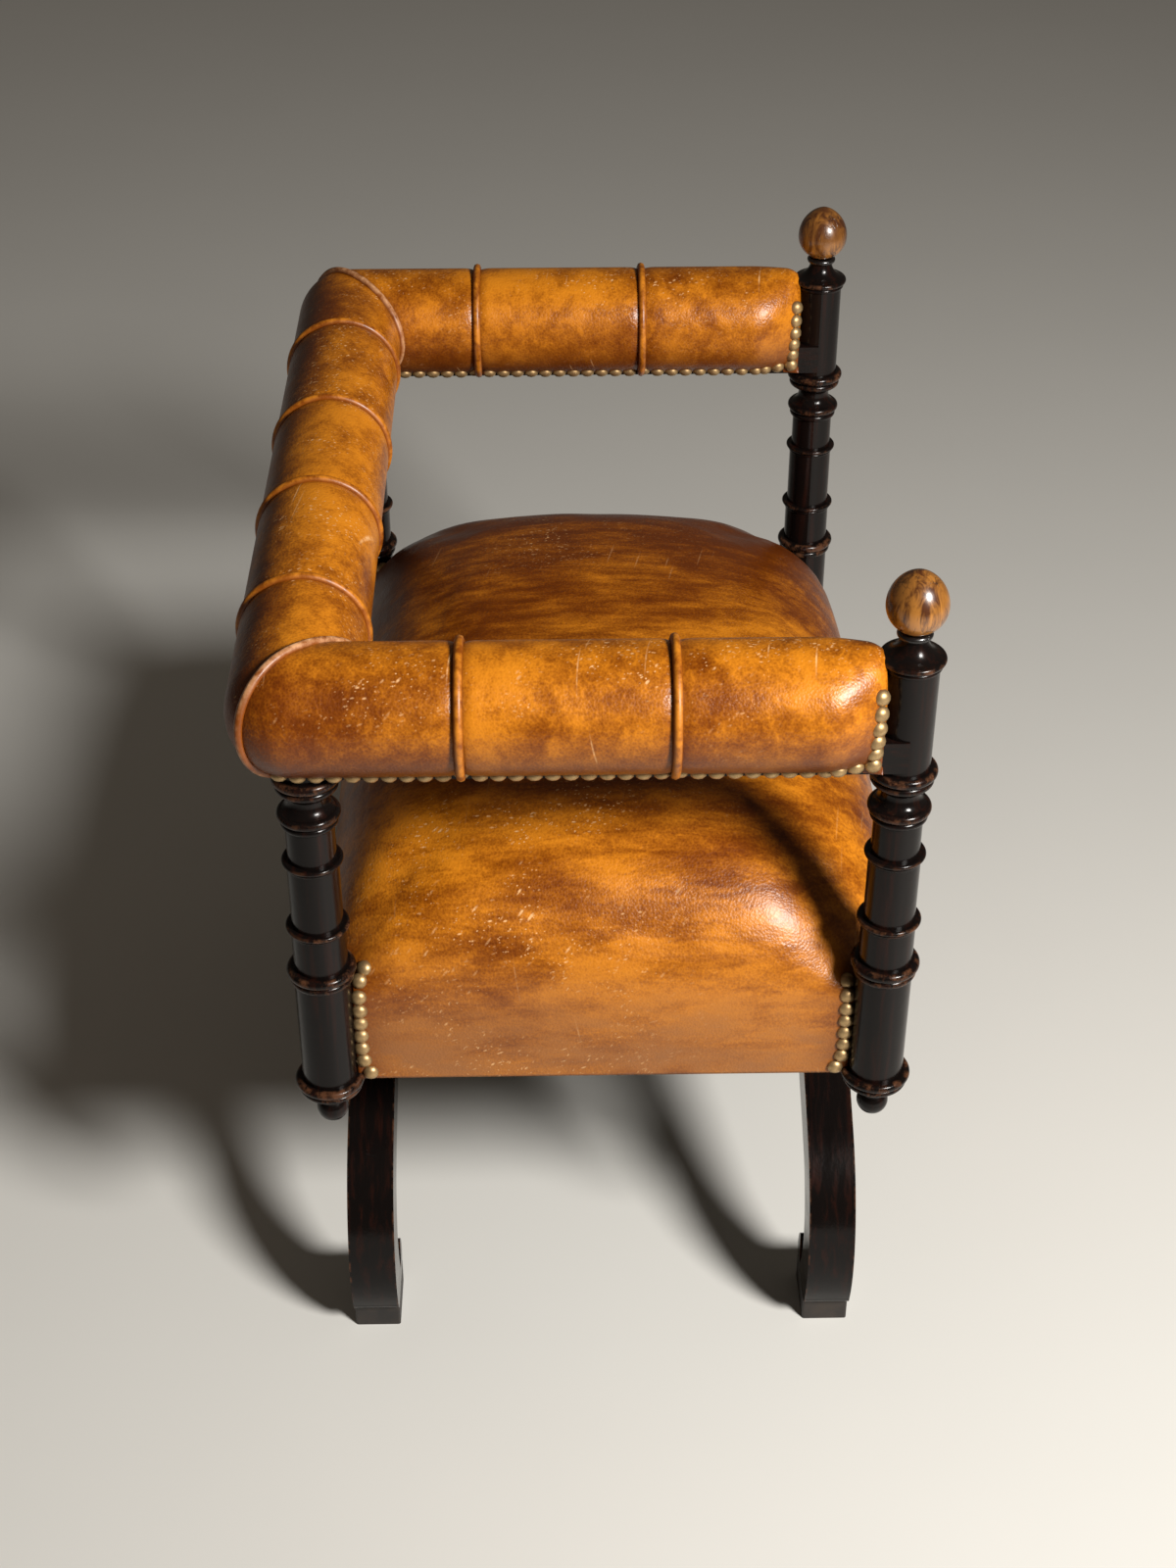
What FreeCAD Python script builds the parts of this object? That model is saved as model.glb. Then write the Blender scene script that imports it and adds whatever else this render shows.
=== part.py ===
"""Ebonised stool with a low padded roll on three sides, ring-turned posts and crossed legs.

Millimetres. +Z is up, the front is towards -Y, left and right are as seen from the front
(left is -X). The origin is on the floor, at the middle of the stool's outline box.
"""
import FreeCAD, Part
import math
import os
from FreeCAD import Vector

# Plan of the four posts and height of the seat frame
POST_SPAN_X = 612.0
POST_SPAN_Y = 400.0
SEAT_UNDERSIDE = 280.0

# Clearances
FIT_GAP = 0.3
JOINT_GAP = 0.2
CUT_PAST = 1.0

# Turned posts: steps from ring to ring, counted upwards from the bottom ring
DROP_LENGTH = 38.0
DROP_RADIUS = 11.6
DROP_NECK_RADIUS = 9.0
BOTTOM_RING_RADIUS = 25.5
BOTTOM_RING_HEIGHT = 12.0
LOWER_STEP = 103.0
LOWER_SHAFT_RADIUS = 20.0
LOWER_RING_RADIUS = 24.7
LOWER_RING_HEIGHT = 14.0
SECOND_STEP = 41.0
SECOND_SHAFT_RADIUS = 19.2
SECOND_RING_RADIUS = 22.6
THIRD_STEP = 57.0
THIRD_SHAFT_RADIUS = 18.2
THIRD_RING_RADIUS = 21.4
THIN_RING_HEIGHT = 7.0
BELL_STEP = 38.0
BELL_SHAFT_RADIUS = 17.0
BELL_RADIUS = 22.0
BELL_HEIGHT = 13.0
NECK_STEP = 30.0
NECK_RADIUS = 13.2
NECK_RING_RADIUS = 23.8
NECK_RING_HEIGHT = 14.0
UPPER_STEP = 89.0
UPPER_SHAFT_RADIUS = 18.5
CAP_RING_RADIUS = 22.3
CAP_RING_HEIGHT = 9.0
CAP_RISE = 13.0
CAP_DIP_RADIUS = 11.6
CAP_DIP_RISE = 5.8
CAP_WAIST_RADIUS = 9.0
REST_HEIGHT = 5.0
BEAD_SHARE = 0.45
BEAD_SET_BACK = 2.0

# Egg-shaped finials on the front posts
COLLAR_RADIUS = 12.0
COLLAR_HEIGHT = 5.0
EGG_RADIUS = 20.6
EGG_FOOT_RADIUS = 7.0
EGG_LOWER_HEIGHT = 18.5
EGG_UPPER_HEIGHT = 25.5
SPIGOT_RADIUS = 6.0
SPIGOT_LENGTH = 24.0
SPIGOT_ROOM = 1.0

# Seat rails and corner blocks
RAIL_THICKNESS = 22.0
RAIL_TOP_RISE = 65.0
TENON_THICKNESS = 10.0
TENON_SET_BACK = 4.0
TENON_HEIGHT = 24.0
TENON_STOP = 3.0
BLOCK_LEG = 62.0
BLOCK_HEIGHT = 36.0
BLOCK_RISE = 22.0
BLOCK_NOSE = 14.0

# Seat upholstery
SEAT_FACE_OUT = 3.0
SEAT_CROWN_RISE = 130.0
SEAT_LONG_RADIUS = 1200.0
SEAT_CROSS_RADIUS = 600.0
SEAT_EDGE_ROUND = 80.0
LEATHER_THICKNESS = 2.5
CLOTH_THICKNESS = 1.0
STRAP_THICKNESS = 2.0
STRAP_WIDTH = 50.0
INNER_STRAP_X = 50.0
OUTER_STRAP_X = 212.0
OUTER_STRAP_Y = 90.0
SPRING_HEIGHT = 98.0
SPRING_RADIUS = 36.0
SPRING_WAIST_RADIUS = 24.0
SPRING_WIRE = 4.0
CANVAS_THICKNESS = 2.0
CANVAS_RIM = 12.0
CANVAS_MARGIN = 8.0

# Padded roll on the arms and the back
ROLL_RADIUS = 46.0
BACK_ROLL_SET_BACK = 5.0
ROLL_RAIL_WIDTH = 40.0
ROLL_RAIL_HEIGHT = 24.0
ROLL_EDGE_RISE = 1.0
ROLL_RAIL_CORNER = 19.0
ROLL_END_ROUND = 16.0
ROLL_END_LAP = 6.0
ARM_DOWEL_RADIUS = 8.0
ARM_DOWEL_STOP = 4.0
POST_DOWEL_RADIUS = 9.0
POST_DOWEL_COVER = 4.0
WELT_WIDTH = 5.0
WELT_PROUD = 2.0
WELT_SUNK = 1.4
ARM_WELT_SHARES = (-0.23, 0.475)
BACK_WELT_SHARES = (-0.68, -0.22, 0.22, 0.68)

# Crossed legs with scroll feet
LEG_THICKNESS = 36.0
LEG_DEPTH = 36.0
LEG_FACE_INSET = 2.0
KNEE_HEIGHT = 69.0
KNEE_RADIUS = 94.0
KNEE_SLOPE_DEGREES = 30.0
LEG_LAND_DEPTH = 4.0
LEG_END_X = 175.0
FOOT_CURL_DEGREES = 20.0
FOOT_LENGTH = 45.0
FOOT_TOE = 8.0
TOE_ROUND = 1.3
HOOK_RISE = 34.0
HOOK_TIP_IN = 55.0
HOOK_BULGE_IN = 65.0
HOOK_BULGE_RISE = 17.0
HOOK_HOLLOW = 1.0
NOTCH_WIDTH = 5.0
NOTCH_RISE = 12.0
PAD_HEIGHT = 22.0
PAD_LENGTH = 50.0
PAD_ROUND = 2.0
STRETCHER_RADIUS = 16.0
STRETCHER_SWELL_RADIUS = 14.3
STRETCHER_END_RADIUS = 10.0
STRETCHER_RING_RADIUS = 19.0
STRETCHER_RING_HEIGHT = 10.0
STRETCHER_DOWEL_RADIUS = 7.0
STRETCHER_DOWEL_LENGTH = 12.0
SCREW_RADIUS = 2.5
SCREW_HEAD_RADIUS = 4.5
SCREW_HEAD_HEIGHT = 3.0
SCREW_IN_LEG = 22.0
SCREW_IN_RAIL = 24.0
SCREW_MARGIN = 12.0

# Heights and places worked out from the sizes above
POST_X = POST_SPAN_X / 2
POST_Y = POST_SPAN_Y / 2
LOWER_RING_Z = SEAT_UNDERSIDE + LOWER_STEP
SECOND_RING_Z = LOWER_RING_Z + SECOND_STEP
THIRD_RING_Z = SECOND_RING_Z + THIRD_STEP
BELL_Z = THIRD_RING_Z + BELL_STEP
NECK_RING_Z = BELL_Z + NECK_STEP
CAP_RING_Z = NECK_RING_Z + UPPER_STEP
CAP_TOP_Z = CAP_RING_Z + CAP_RING_HEIGHT / 2 + CAP_RISE
ROLL_RAIL_Z = NECK_RING_Z + NECK_RING_HEIGHT / 2 + REST_HEIGHT
ROLL_EDGE_Z = ROLL_RAIL_Z + ROLL_EDGE_RISE
ROLL_AXIS_Z = ROLL_EDGE_Z + math.sqrt(ROLL_RADIUS ** 2 - (ROLL_RAIL_WIDTH / 2) ** 2)
BACK_ROLL_Y = POST_Y + BACK_ROLL_SET_BACK
ARM_END_Y = -POST_Y + UPPER_SHAFT_RADIUS - ROLL_END_LAP
SEAT_FACE_X = POST_X + SEAT_FACE_OUT
SEAT_FACE_Y = POST_Y + SEAT_FACE_OUT
RAIL_FACE_X = SEAT_FACE_X - LEATHER_THICKNESS - FIT_GAP
RAIL_FACE_Y = SEAT_FACE_Y - LEATHER_THICKNESS - FIT_GAP
RAIL_STOP = max(LOWER_SHAFT_RADIUS, RAIL_THICKNESS) + FIT_GAP
SIDE_RAIL_Z = SEAT_UNDERSIDE + CLOTH_THICKNESS + STRAP_THICKNESS
LONG_RAIL_Z = SIDE_RAIL_Z + STRAP_THICKNESS
RAIL_TOP_Z = SEAT_UNDERSIDE + RAIL_TOP_RISE
SEAT_CROWN_Z = RAIL_TOP_Z + SEAT_CROWN_RISE
SPRING_TOP_Z = LONG_RAIL_Z + SPRING_HEIGHT
LEG_OUTER_Y = POST_Y - LEG_FACE_INSET
LEG_INNER_Y = LEG_OUTER_Y - LEG_DEPTH
LEG_MID_Y = (LEG_OUTER_Y + LEG_INNER_Y) / 2
KNEE_X = POST_X - KNEE_RADIUS - LEG_THICKNESS / 2
FRONT_REACH = POST_Y + BOTTOM_RING_RADIUS
BACK_REACH = BACK_ROLL_Y + ROLL_RADIUS + WELT_PROUD
MIDDLE_Y = (BACK_REACH - FRONT_REACH) / 2
FAR = 2 * (POST_SPAN_X + POST_SPAN_Y + SEAT_UNDERSIDE)

SIDES = (("left", -1), ("right", 1))
ENDS = (("front", -1), ("back", 1))


def save(name, shape):
    """Write one node, moved so that the origin is in the middle of the outline box."""
    placed = shape.copy()
    placed.translate(Vector(0, -MIDDLE_Y, 0))
    placed.exportStep("parts/" + name + ".step")


def box(x0, x1, y0, y1, z0, z1):
    """Box between two corners, given in any order along each axis."""
    low = Vector(min(x0, x1), min(y0, y1), min(z0, z1))
    return Part.makeBox(abs(x1 - x0), abs(y1 - y0), abs(z1 - z0), low)


def rod(radius, start, end):
    """Round bar from one point to another."""
    along = end - start
    return Part.makeCylinder(radius, along.Length, start, along)


def mirror_x(shape):
    return shape.mirror(Vector(0, 0, 0), Vector(1, 0, 0))


def mirror_y(shape):
    return shape.mirror(Vector(0, 0, 0), Vector(0, 1, 0))


def without(shape, tools):
    """Shape with each of the tools cut out of it in turn."""
    for tool in tools:
        shape = shape.cut(tool)
    return shape


def one_piece(shape):
    """The single solid of a shape, with split faces joined again."""
    return shape.removeSplitter().Solids[0]


class Turning:
    """Half outline of a turned piece, drawn as radius and height from its lowest point."""

    def __init__(self, radius, height):
        self.first = Vector(radius, 0, height)
        self.here = self.first
        self.edges = []

    def to(self, radius, height):
        """Straight to a point."""
        goal = Vector(radius, 0, height)
        if not goal.isEqual(self.here, 1e-6):
            self.edges.append(Part.LineSegment(self.here, goal).toShape())
        self.here = goal

    def through(self, mid_radius, mid_height, radius, height):
        """Arc through one point to another."""
        middle = Vector(mid_radius, 0, mid_height)
        goal = Vector(radius, 0, height)
        self.edges.append(Part.Arc(self.here, middle, goal).toShape())
        self.here = goal

    def about(self, centre_radius, centre_height, radius, height):
        """Arc about a centre, the short way round."""
        centre = Vector(centre_radius, 0, centre_height)
        goal = Vector(radius, 0, height)
        halfway = (self.here + goal) * 0.5 - centre
        middle = centre + halfway.normalize() * (goal - centre).Length
        self.through(middle.x, middle.z, radius, height)

    def pointed(self, centre_radius, centre_height, radius, height):
        """Arc about a centre beyond the axis, which meets the axis in a blunt point."""
        self.about(centre_radius, centre_height, radius, height)
        arc = self.edges.pop()
        self.edges.append(arc.Curve.trim(*arc.ParameterRange).toBSpline().toShape())

    def ring(self, height, radius, thickness):
        """Disc with a half-round rim, centred on a height."""
        rim = radius - thickness / 2
        self.to(rim, height - thickness / 2)
        self.through(radius, height, rim, height + thickness / 2)

    def collar(self, height, radius, thickness):
        """Wide lip over a narrower bead, together centred on a height."""
        bead = thickness * BEAD_SHARE
        self.ring(height - (thickness - bead) / 2, radius - BEAD_SET_BACK, bead)
        self.ring(height + bead / 2, radius, thickness - bead)

    def solid(self):
        self.to(0, self.here.z)
        self.to(self.first.x, self.first.z)
        face = Part.Face(Part.Wire(self.edges))
        return face.revolve(Vector(0, 0, 0), Vector(0, 0, 1), 360)


def turn_lower_post(post):
    """Drop, shafts and rings that all four posts share, up to the double ring under the roll."""
    drop_top = SEAT_UNDERSIDE - BOTTOM_RING_HEIGHT / 2
    drop_centre = SEAT_UNDERSIDE - DROP_LENGTH + DROP_RADIUS
    neck_rise = math.sqrt(DROP_RADIUS ** 2 - DROP_NECK_RADIUS ** 2)
    post.about(0, drop_centre, DROP_RADIUS, drop_centre)
    post.about(0, drop_centre, DROP_NECK_RADIUS, drop_centre + neck_rise)
    post.to(DROP_NECK_RADIUS, drop_top)
    post.collar(SEAT_UNDERSIDE, BOTTOM_RING_RADIUS, BOTTOM_RING_HEIGHT)
    post.to(LOWER_SHAFT_RADIUS, post.here.z)
    post.to(LOWER_SHAFT_RADIUS, LOWER_RING_Z - LOWER_RING_HEIGHT / 2)
    post.collar(LOWER_RING_Z, LOWER_RING_RADIUS, LOWER_RING_HEIGHT)
    post.to(SECOND_SHAFT_RADIUS, post.here.z)
    post.to(SECOND_SHAFT_RADIUS, SECOND_RING_Z - THIN_RING_HEIGHT / 2)
    post.collar(SECOND_RING_Z, SECOND_RING_RADIUS, THIN_RING_HEIGHT)
    post.to(THIRD_SHAFT_RADIUS, post.here.z)
    post.to(THIRD_SHAFT_RADIUS, THIRD_RING_Z - THIN_RING_HEIGHT / 2)
    post.collar(THIRD_RING_Z, THIRD_RING_RADIUS, THIN_RING_HEIGHT)
    post.to(BELL_SHAFT_RADIUS, post.here.z)
    post.to(BELL_SHAFT_RADIUS, BELL_Z - BELL_HEIGHT / 2)
    post.collar(BELL_Z, BELL_RADIUS, BELL_HEIGHT)
    neck_bottom = post.here.z
    neck_top = NECK_RING_Z - NECK_RING_HEIGHT / 2
    post.through(NECK_RADIUS, (neck_bottom + neck_top) / 2, BELL_SHAFT_RADIUS, neck_top)
    post.collar(NECK_RING_Z, NECK_RING_RADIUS, NECK_RING_HEIGHT)
    post.to(UPPER_SHAFT_RADIUS, post.here.z)


def front_post_blank():
    """Front post: the shaft goes on past the roll to a ring and an ogee cap."""
    post = Turning(0, SEAT_UNDERSIDE - DROP_LENGTH)
    turn_lower_post(post)
    post.to(UPPER_SHAFT_RADIUS, CAP_RING_Z - CAP_RING_HEIGHT / 2)
    post.collar(CAP_RING_Z, CAP_RING_RADIUS, CAP_RING_HEIGHT)
    post.through(CAP_DIP_RADIUS, post.here.z + CAP_DIP_RISE, CAP_WAIST_RADIUS, CAP_TOP_Z)
    hole = rod(SPIGOT_RADIUS + JOINT_GAP, Vector(0, 0, CAP_TOP_Z - SPIGOT_LENGTH - SPIGOT_ROOM),
               Vector(0, 0, CAP_TOP_Z + CUT_PAST))
    return post.solid().cut(hole)


def back_post_blank():
    """Back post: it ends under the roll's corner, with a dowel into the rails above."""
    post = Turning(0, SEAT_UNDERSIDE - DROP_LENGTH)
    turn_lower_post(post)
    post.to(UPPER_SHAFT_RADIUS, ROLL_RAIL_Z)
    post.to(POST_DOWEL_RADIUS, ROLL_RAIL_Z)
    post.to(POST_DOWEL_RADIUS, ROLL_RAIL_Z + ROLL_RAIL_HEIGHT - POST_DOWEL_COVER)
    return post.solid()


def post_room(x, y):
    """Room that a post takes, with a gap all round, for cutting what fits against it."""
    bands = (
        (SEAT_UNDERSIDE, BOTTOM_RING_RADIUS, BOTTOM_RING_HEIGHT, LOWER_SHAFT_RADIUS),
        (LOWER_RING_Z, LOWER_RING_RADIUS, LOWER_RING_HEIGHT, SECOND_SHAFT_RADIUS),
        (SECOND_RING_Z, SECOND_RING_RADIUS, THIN_RING_HEIGHT, THIRD_SHAFT_RADIUS),
        (THIRD_RING_Z, THIRD_RING_RADIUS, THIN_RING_HEIGHT, BELL_SHAFT_RADIUS),
        (BELL_Z, BELL_RADIUS, BELL_HEIGHT, BELL_SHAFT_RADIUS),
        (NECK_RING_Z, NECK_RING_RADIUS, NECK_RING_HEIGHT, UPPER_SHAFT_RADIUS),
        (CAP_RING_Z, CAP_RING_RADIUS, CAP_RING_HEIGHT, CAP_RING_RADIUS),
    )
    room = Turning(0, SEAT_UNDERSIDE - BOTTOM_RING_HEIGHT / 2 - FIT_GAP)
    for height, radius, thickness, shaft in bands:
        room.to(room.here.x, height - thickness / 2 - FIT_GAP)
        room.to(radius + FIT_GAP, room.here.z)
        room.to(radius + FIT_GAP, height + thickness / 2 + FIT_GAP)
        room.to(shaft + FIT_GAP, room.here.z)
    room.to(room.here.x, CAP_TOP_Z)
    solid = room.solid()
    solid.translate(Vector(x, y, 0))
    return solid


def all_post_rooms():
    return [post_room(sx * POST_X, sy * POST_Y) for _, sx in SIDES for _, sy in ENDS]


def finial():
    """Egg on a small collar, with a spigot down into the post."""
    egg = Turning(0, CAP_TOP_Z - SPIGOT_LENGTH)
    egg.to(SPIGOT_RADIUS, egg.here.z)
    egg.to(SPIGOT_RADIUS, CAP_TOP_Z)
    egg.to(CAP_WAIST_RADIUS, CAP_TOP_Z)
    egg.ring(CAP_TOP_Z + COLLAR_HEIGHT / 2, COLLAR_RADIUS, COLLAR_HEIGHT)
    egg.to(EGG_FOOT_RADIUS, egg.here.z)
    wide = egg.here.z + EGG_LOWER_HEIGHT
    top = wide + EGG_UPPER_HEIGHT
    lower_centre = ((EGG_RADIUS ** 2 - EGG_FOOT_RADIUS ** 2 - EGG_LOWER_HEIGHT ** 2)
                    / (2 * (EGG_RADIUS - EGG_FOOT_RADIUS)))
    upper_centre = (EGG_RADIUS ** 2 - EGG_UPPER_HEIGHT ** 2) / (2 * EGG_RADIUS)
    egg.about(lower_centre, wide, EGG_RADIUS, wide)
    egg.pointed(upper_centre, wide, 0, top)
    return egg.solid()


def side_tenon_span():
    """Upper and lower end of the tenons on the side rails, in the rails' upper half."""
    top = RAIL_TOP_Z - TENON_SET_BACK
    return top - TENON_HEIGHT, top


def long_tenon_span():
    """Upper and lower end of the tenons on the front and back rails, in the lower half."""
    low = LONG_RAIL_Z + TENON_SET_BACK
    return low, low + TENON_HEIGHT


def side_tenons(gap):
    """Tenon bar of the left rail, long enough for both of its posts."""
    low, high = side_tenon_span()
    outer = -RAIL_FACE_X + TENON_SET_BACK
    end = POST_Y - TENON_STOP + gap
    return box(outer - gap, outer + TENON_THICKNESS + gap, -end, end, low - gap, high + gap)


def long_tenons(gap):
    """Tenon bar of the front rail, long enough for both of its posts."""
    low, high = long_tenon_span()
    outer = -RAIL_FACE_Y + TENON_SET_BACK
    end = POST_X - TENON_STOP + gap
    return box(-end, end, outer - gap, outer + TENON_THICKNESS + gap, low - gap, high + gap)


def left_seat_rail():
    end = POST_Y - RAIL_STOP
    body = box(-RAIL_FACE_X, -RAIL_FACE_X + RAIL_THICKNESS, -end, end, SIDE_RAIL_Z, RAIL_TOP_Z)
    return one_piece(body.cut(all_post_rooms()).fuse(side_tenons(0)))


def front_seat_rail():
    end = POST_X - RAIL_STOP
    body = box(-end, end, -RAIL_FACE_Y, -RAIL_FACE_Y + RAIL_THICKNESS, LONG_RAIL_Z, RAIL_TOP_Z)
    whole = body.cut(all_post_rooms()).fuse(long_tenons(0))
    return one_piece(whole.cut(leg_screw_holes()))


def corner_block():
    """Three-cornered block in the front left corner, with its nose cut off beside the post."""
    x = -RAIL_FACE_X + RAIL_THICKNESS
    y = -RAIL_FACE_Y + RAIL_THICKNESS
    z = LONG_RAIL_Z + BLOCK_RISE
    corners = [Vector(x + BLOCK_NOSE, y, z), Vector(x + BLOCK_LEG, y, z),
               Vector(x, y + BLOCK_LEG, z), Vector(x, y + BLOCK_NOSE, z)]
    face = Part.Face(Part.makePolygon(corners + corners[:1]))
    return face.extrude(Vector(0, 0, BLOCK_HEIGHT))


def crowned_top(inset, depth):
    """Slab under the seat's crown: an arc across the seat, swung about an axis far below along the seat."""
    reach = SEAT_FACE_Y + SEAT_EDGE_ROUND
    radius = SEAT_CROSS_RADIUS - inset
    middle = SEAT_CROWN_Z - SEAT_CROSS_RADIUS
    rise = middle + math.sqrt(radius ** 2 - reach ** 2)
    low = SEAT_CROWN_Z - depth
    arc = Part.Arc(Vector(0, -reach, rise), Vector(0, 0, middle + radius), Vector(0, reach, rise)).toShape()
    sides = Part.makePolygon([Vector(0, reach, rise), Vector(0, reach, low), Vector(0, -reach, low),
                              Vector(0, -reach, rise)])
    face = Part.Face(Part.Wire([arc] + sides.Edges))
    swing = math.degrees(math.asin((SEAT_FACE_X + SEAT_EDGE_ROUND) / (SEAT_LONG_RADIUS - depth)))
    pivot = Vector(0, 0, SEAT_CROWN_Z - SEAT_LONG_RADIUS)
    face.rotate(pivot, Vector(0, 1, 0), -swing)
    return face.revolve(pivot, Vector(0, 1, 0), 2 * swing)


def seat_dome(inset, bottom):
    """Domed cushion block: a flat-sided prism under a crowned top, with rounded upper edges."""
    half_x = SEAT_FACE_X - inset
    half_y = SEAT_FACE_Y - inset
    prism = box(-half_x, half_x, -half_y, half_y, bottom, SEAT_CROWN_Z + inset)
    body = prism.common(crowned_top(inset, SEAT_CROWN_Z - bottom + SEAT_EDGE_ROUND)).Solids[0]
    rim = []
    for edge in body.Edges:
        middle = edge.valueAt((edge.FirstParameter + edge.LastParameter) / 2)
        on_side = abs(abs(middle.x) - half_x) < 1e-3
        on_end = abs(abs(middle.y) - half_y) < 1e-3
        if on_side != on_end and middle.z > bottom + 1:
            rim.append(edge)
    return body.makeFillet(SEAT_EDGE_ROUND - inset, rim)


def seat_leather():
    skin = seat_dome(0, SEAT_UNDERSIDE)
    hollow = seat_dome(LEATHER_THICKNESS, SEAT_UNDERSIDE - CUT_PAST)
    return one_piece(skin.cut(hollow).cut(all_post_rooms()))


def canvas_frustum(grow, base_inset, z_base):
    """Solid under a canvas that slopes from the rail tops up to the springs."""
    base_x = RAIL_FACE_X - base_inset + grow
    base_y = RAIL_FACE_Y - base_inset + grow
    top_x = OUTER_STRAP_X + SPRING_RADIUS + CANVAS_MARGIN + grow
    top_y = OUTER_STRAP_Y + SPRING_RADIUS + CANVAS_MARGIN + grow
    z_top = SPRING_TOP_Z + grow
    wires = []
    for half_x, half_y, z in ((base_x, base_y, z_base), (top_x, top_y, z_top)):
        points = [Vector(-half_x, -half_y, z), Vector(half_x, -half_y, z),
                  Vector(half_x, half_y, z), Vector(-half_x, half_y, z)]
        wires.append(Part.makePolygon(points + points[:1]))
    return Part.makeLoft(wires, True, True)


def spring_canvas():
    outer = canvas_frustum(CANVAS_THICKNESS, TENON_SET_BACK, RAIL_TOP_Z)
    inner = canvas_frustum(0, TENON_SET_BACK + CANVAS_RIM, RAIL_TOP_Z)
    return one_piece(outer.cut(inner).cut(all_post_rooms()))


def seat_stuffing():
    pad = seat_dome(LEATHER_THICKNESS + FIT_GAP, SEAT_UNDERSIDE)
    frame = box(-FAR, FAR, -FAR, FAR, 0, RAIL_TOP_Z)
    bed = canvas_frustum(CANVAS_THICKNESS + FIT_GAP, TENON_SET_BACK, RAIL_TOP_Z)
    return one_piece(pad.cut(frame).cut(bed).cut(all_post_rooms()))


def crosswise_straps():
    """Webbing from front to back, tacked under the front and back rails."""
    reach = RAIL_FACE_Y - TENON_SET_BACK
    straps = [box(x - STRAP_WIDTH / 2, x + STRAP_WIDTH / 2, -reach, reach, SIDE_RAIL_Z, LONG_RAIL_Z)
              for x in (-OUTER_STRAP_X, -INNER_STRAP_X, INNER_STRAP_X, OUTER_STRAP_X)]
    return Part.makeCompound([one_piece(strap.cut(leg_lands())) for strap in straps])


def lengthwise_straps():
    """Webbing from side to side, tacked under the side rails."""
    reach = RAIL_FACE_X - TENON_SET_BACK
    low = SIDE_RAIL_Z - STRAP_THICKNESS
    straps = [box(-reach, reach, y - STRAP_WIDTH / 2, y + STRAP_WIDTH / 2, low, SIDE_RAIL_Z)
              for y in (-OUTER_STRAP_Y, 0, OUTER_STRAP_Y)]
    return Part.makeCompound(straps)


def seat_springs():
    """Waisted coil springs, each as the sleeve that its coils fill."""
    sleeve = Turning(SPRING_RADIUS - SPRING_WIRE, LONG_RAIL_Z)
    middle = LONG_RAIL_Z + SPRING_HEIGHT / 2
    sleeve.to(SPRING_RADIUS, LONG_RAIL_Z)
    sleeve.to(SPRING_WAIST_RADIUS, middle)
    sleeve.to(SPRING_RADIUS, SPRING_TOP_Z)
    sleeve.to(SPRING_RADIUS - SPRING_WIRE, SPRING_TOP_Z)
    sleeve.to(SPRING_WAIST_RADIUS - SPRING_WIRE, middle)
    sleeve.to(sleeve.first.x, sleeve.first.z)
    face = Part.Face(Part.Wire(sleeve.edges))
    spring = face.revolve(Vector(0, 0, 0), Vector(0, 0, 1), 360)
    springs = []
    for x in (-OUTER_STRAP_X, -INNER_STRAP_X, INNER_STRAP_X, OUTER_STRAP_X):
        for y in (-OUTER_STRAP_Y, OUTER_STRAP_Y):
            springs.append(spring.translated(Vector(x, y, 0)))
    return Part.makeCompound(springs)


def bottom_cloth():
    """Dust cloth under the seat, cut out round the posts and the ends of the legs."""
    top = SEAT_UNDERSIDE + CLOTH_THICKNESS
    cloth = box(-RAIL_FACE_X, RAIL_FACE_X, -RAIL_FACE_Y, RAIL_FACE_Y, SEAT_UNDERSIDE, top)
    return one_piece(cloth.cut(leg_lands()).cut(all_post_rooms()))


def leg_lands():
    """Room for the ends of the legs where they pass the cloth and the webbing to the rails."""
    return [box(sx * (land_start() - FIT_GAP), sx * (LEG_END_X + FIT_GAP),
                sy * (LEG_INNER_Y - FIT_GAP), sy * FAR, 0, LONG_RAIL_Z)
            for _, sx in SIDES for _, sy in ENDS]


def rise_centre():
    """Centre and mid-line radius of the long arc that carries a leg up to the far rail."""
    slope = math.radians(KNEE_SLOPE_DEGREES)
    knee_x = -KNEE_X - KNEE_RADIUS * math.sin(slope)
    knee_z = KNEE_HEIGHT + KNEE_RADIUS * math.cos(slope)
    crest = LONG_RAIL_Z + LEG_LAND_DEPTH - LEG_THICKNESS / 2
    radius = (crest - knee_z) / (1 - math.cos(slope))
    return Vector(knee_x + radius * math.sin(slope), 0, crest - radius), radius


def land_start():
    """Where a leg, on its way up to the rail, reaches the height of the seat's underside."""
    centre, radius = rise_centre()
    top = radius + LEG_THICKNESS / 2
    return centre.x - math.sqrt(top ** 2 - (SEAT_UNDERSIDE - centre.z) ** 2)


def crossing_height():
    """Mid-line height where the two legs of a frame cross."""
    centre, radius = rise_centre()
    return centre.z + math.sqrt(radius ** 2 - centre.x ** 2)


def on_arc(centre, radius, degrees):
    """Point on a circle in the plane of a leg."""
    angle = math.radians(degrees)
    return centre + Vector(radius * math.cos(angle), 0, radius * math.sin(angle))


def arc_edge(centre, radius, start, end):
    """Arc in the plane of a leg, between two angles."""
    points = [on_arc(centre, radius, a) for a in (start, (start + end) / 2, end)]
    return Part.Arc(*points).toShape()


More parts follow.
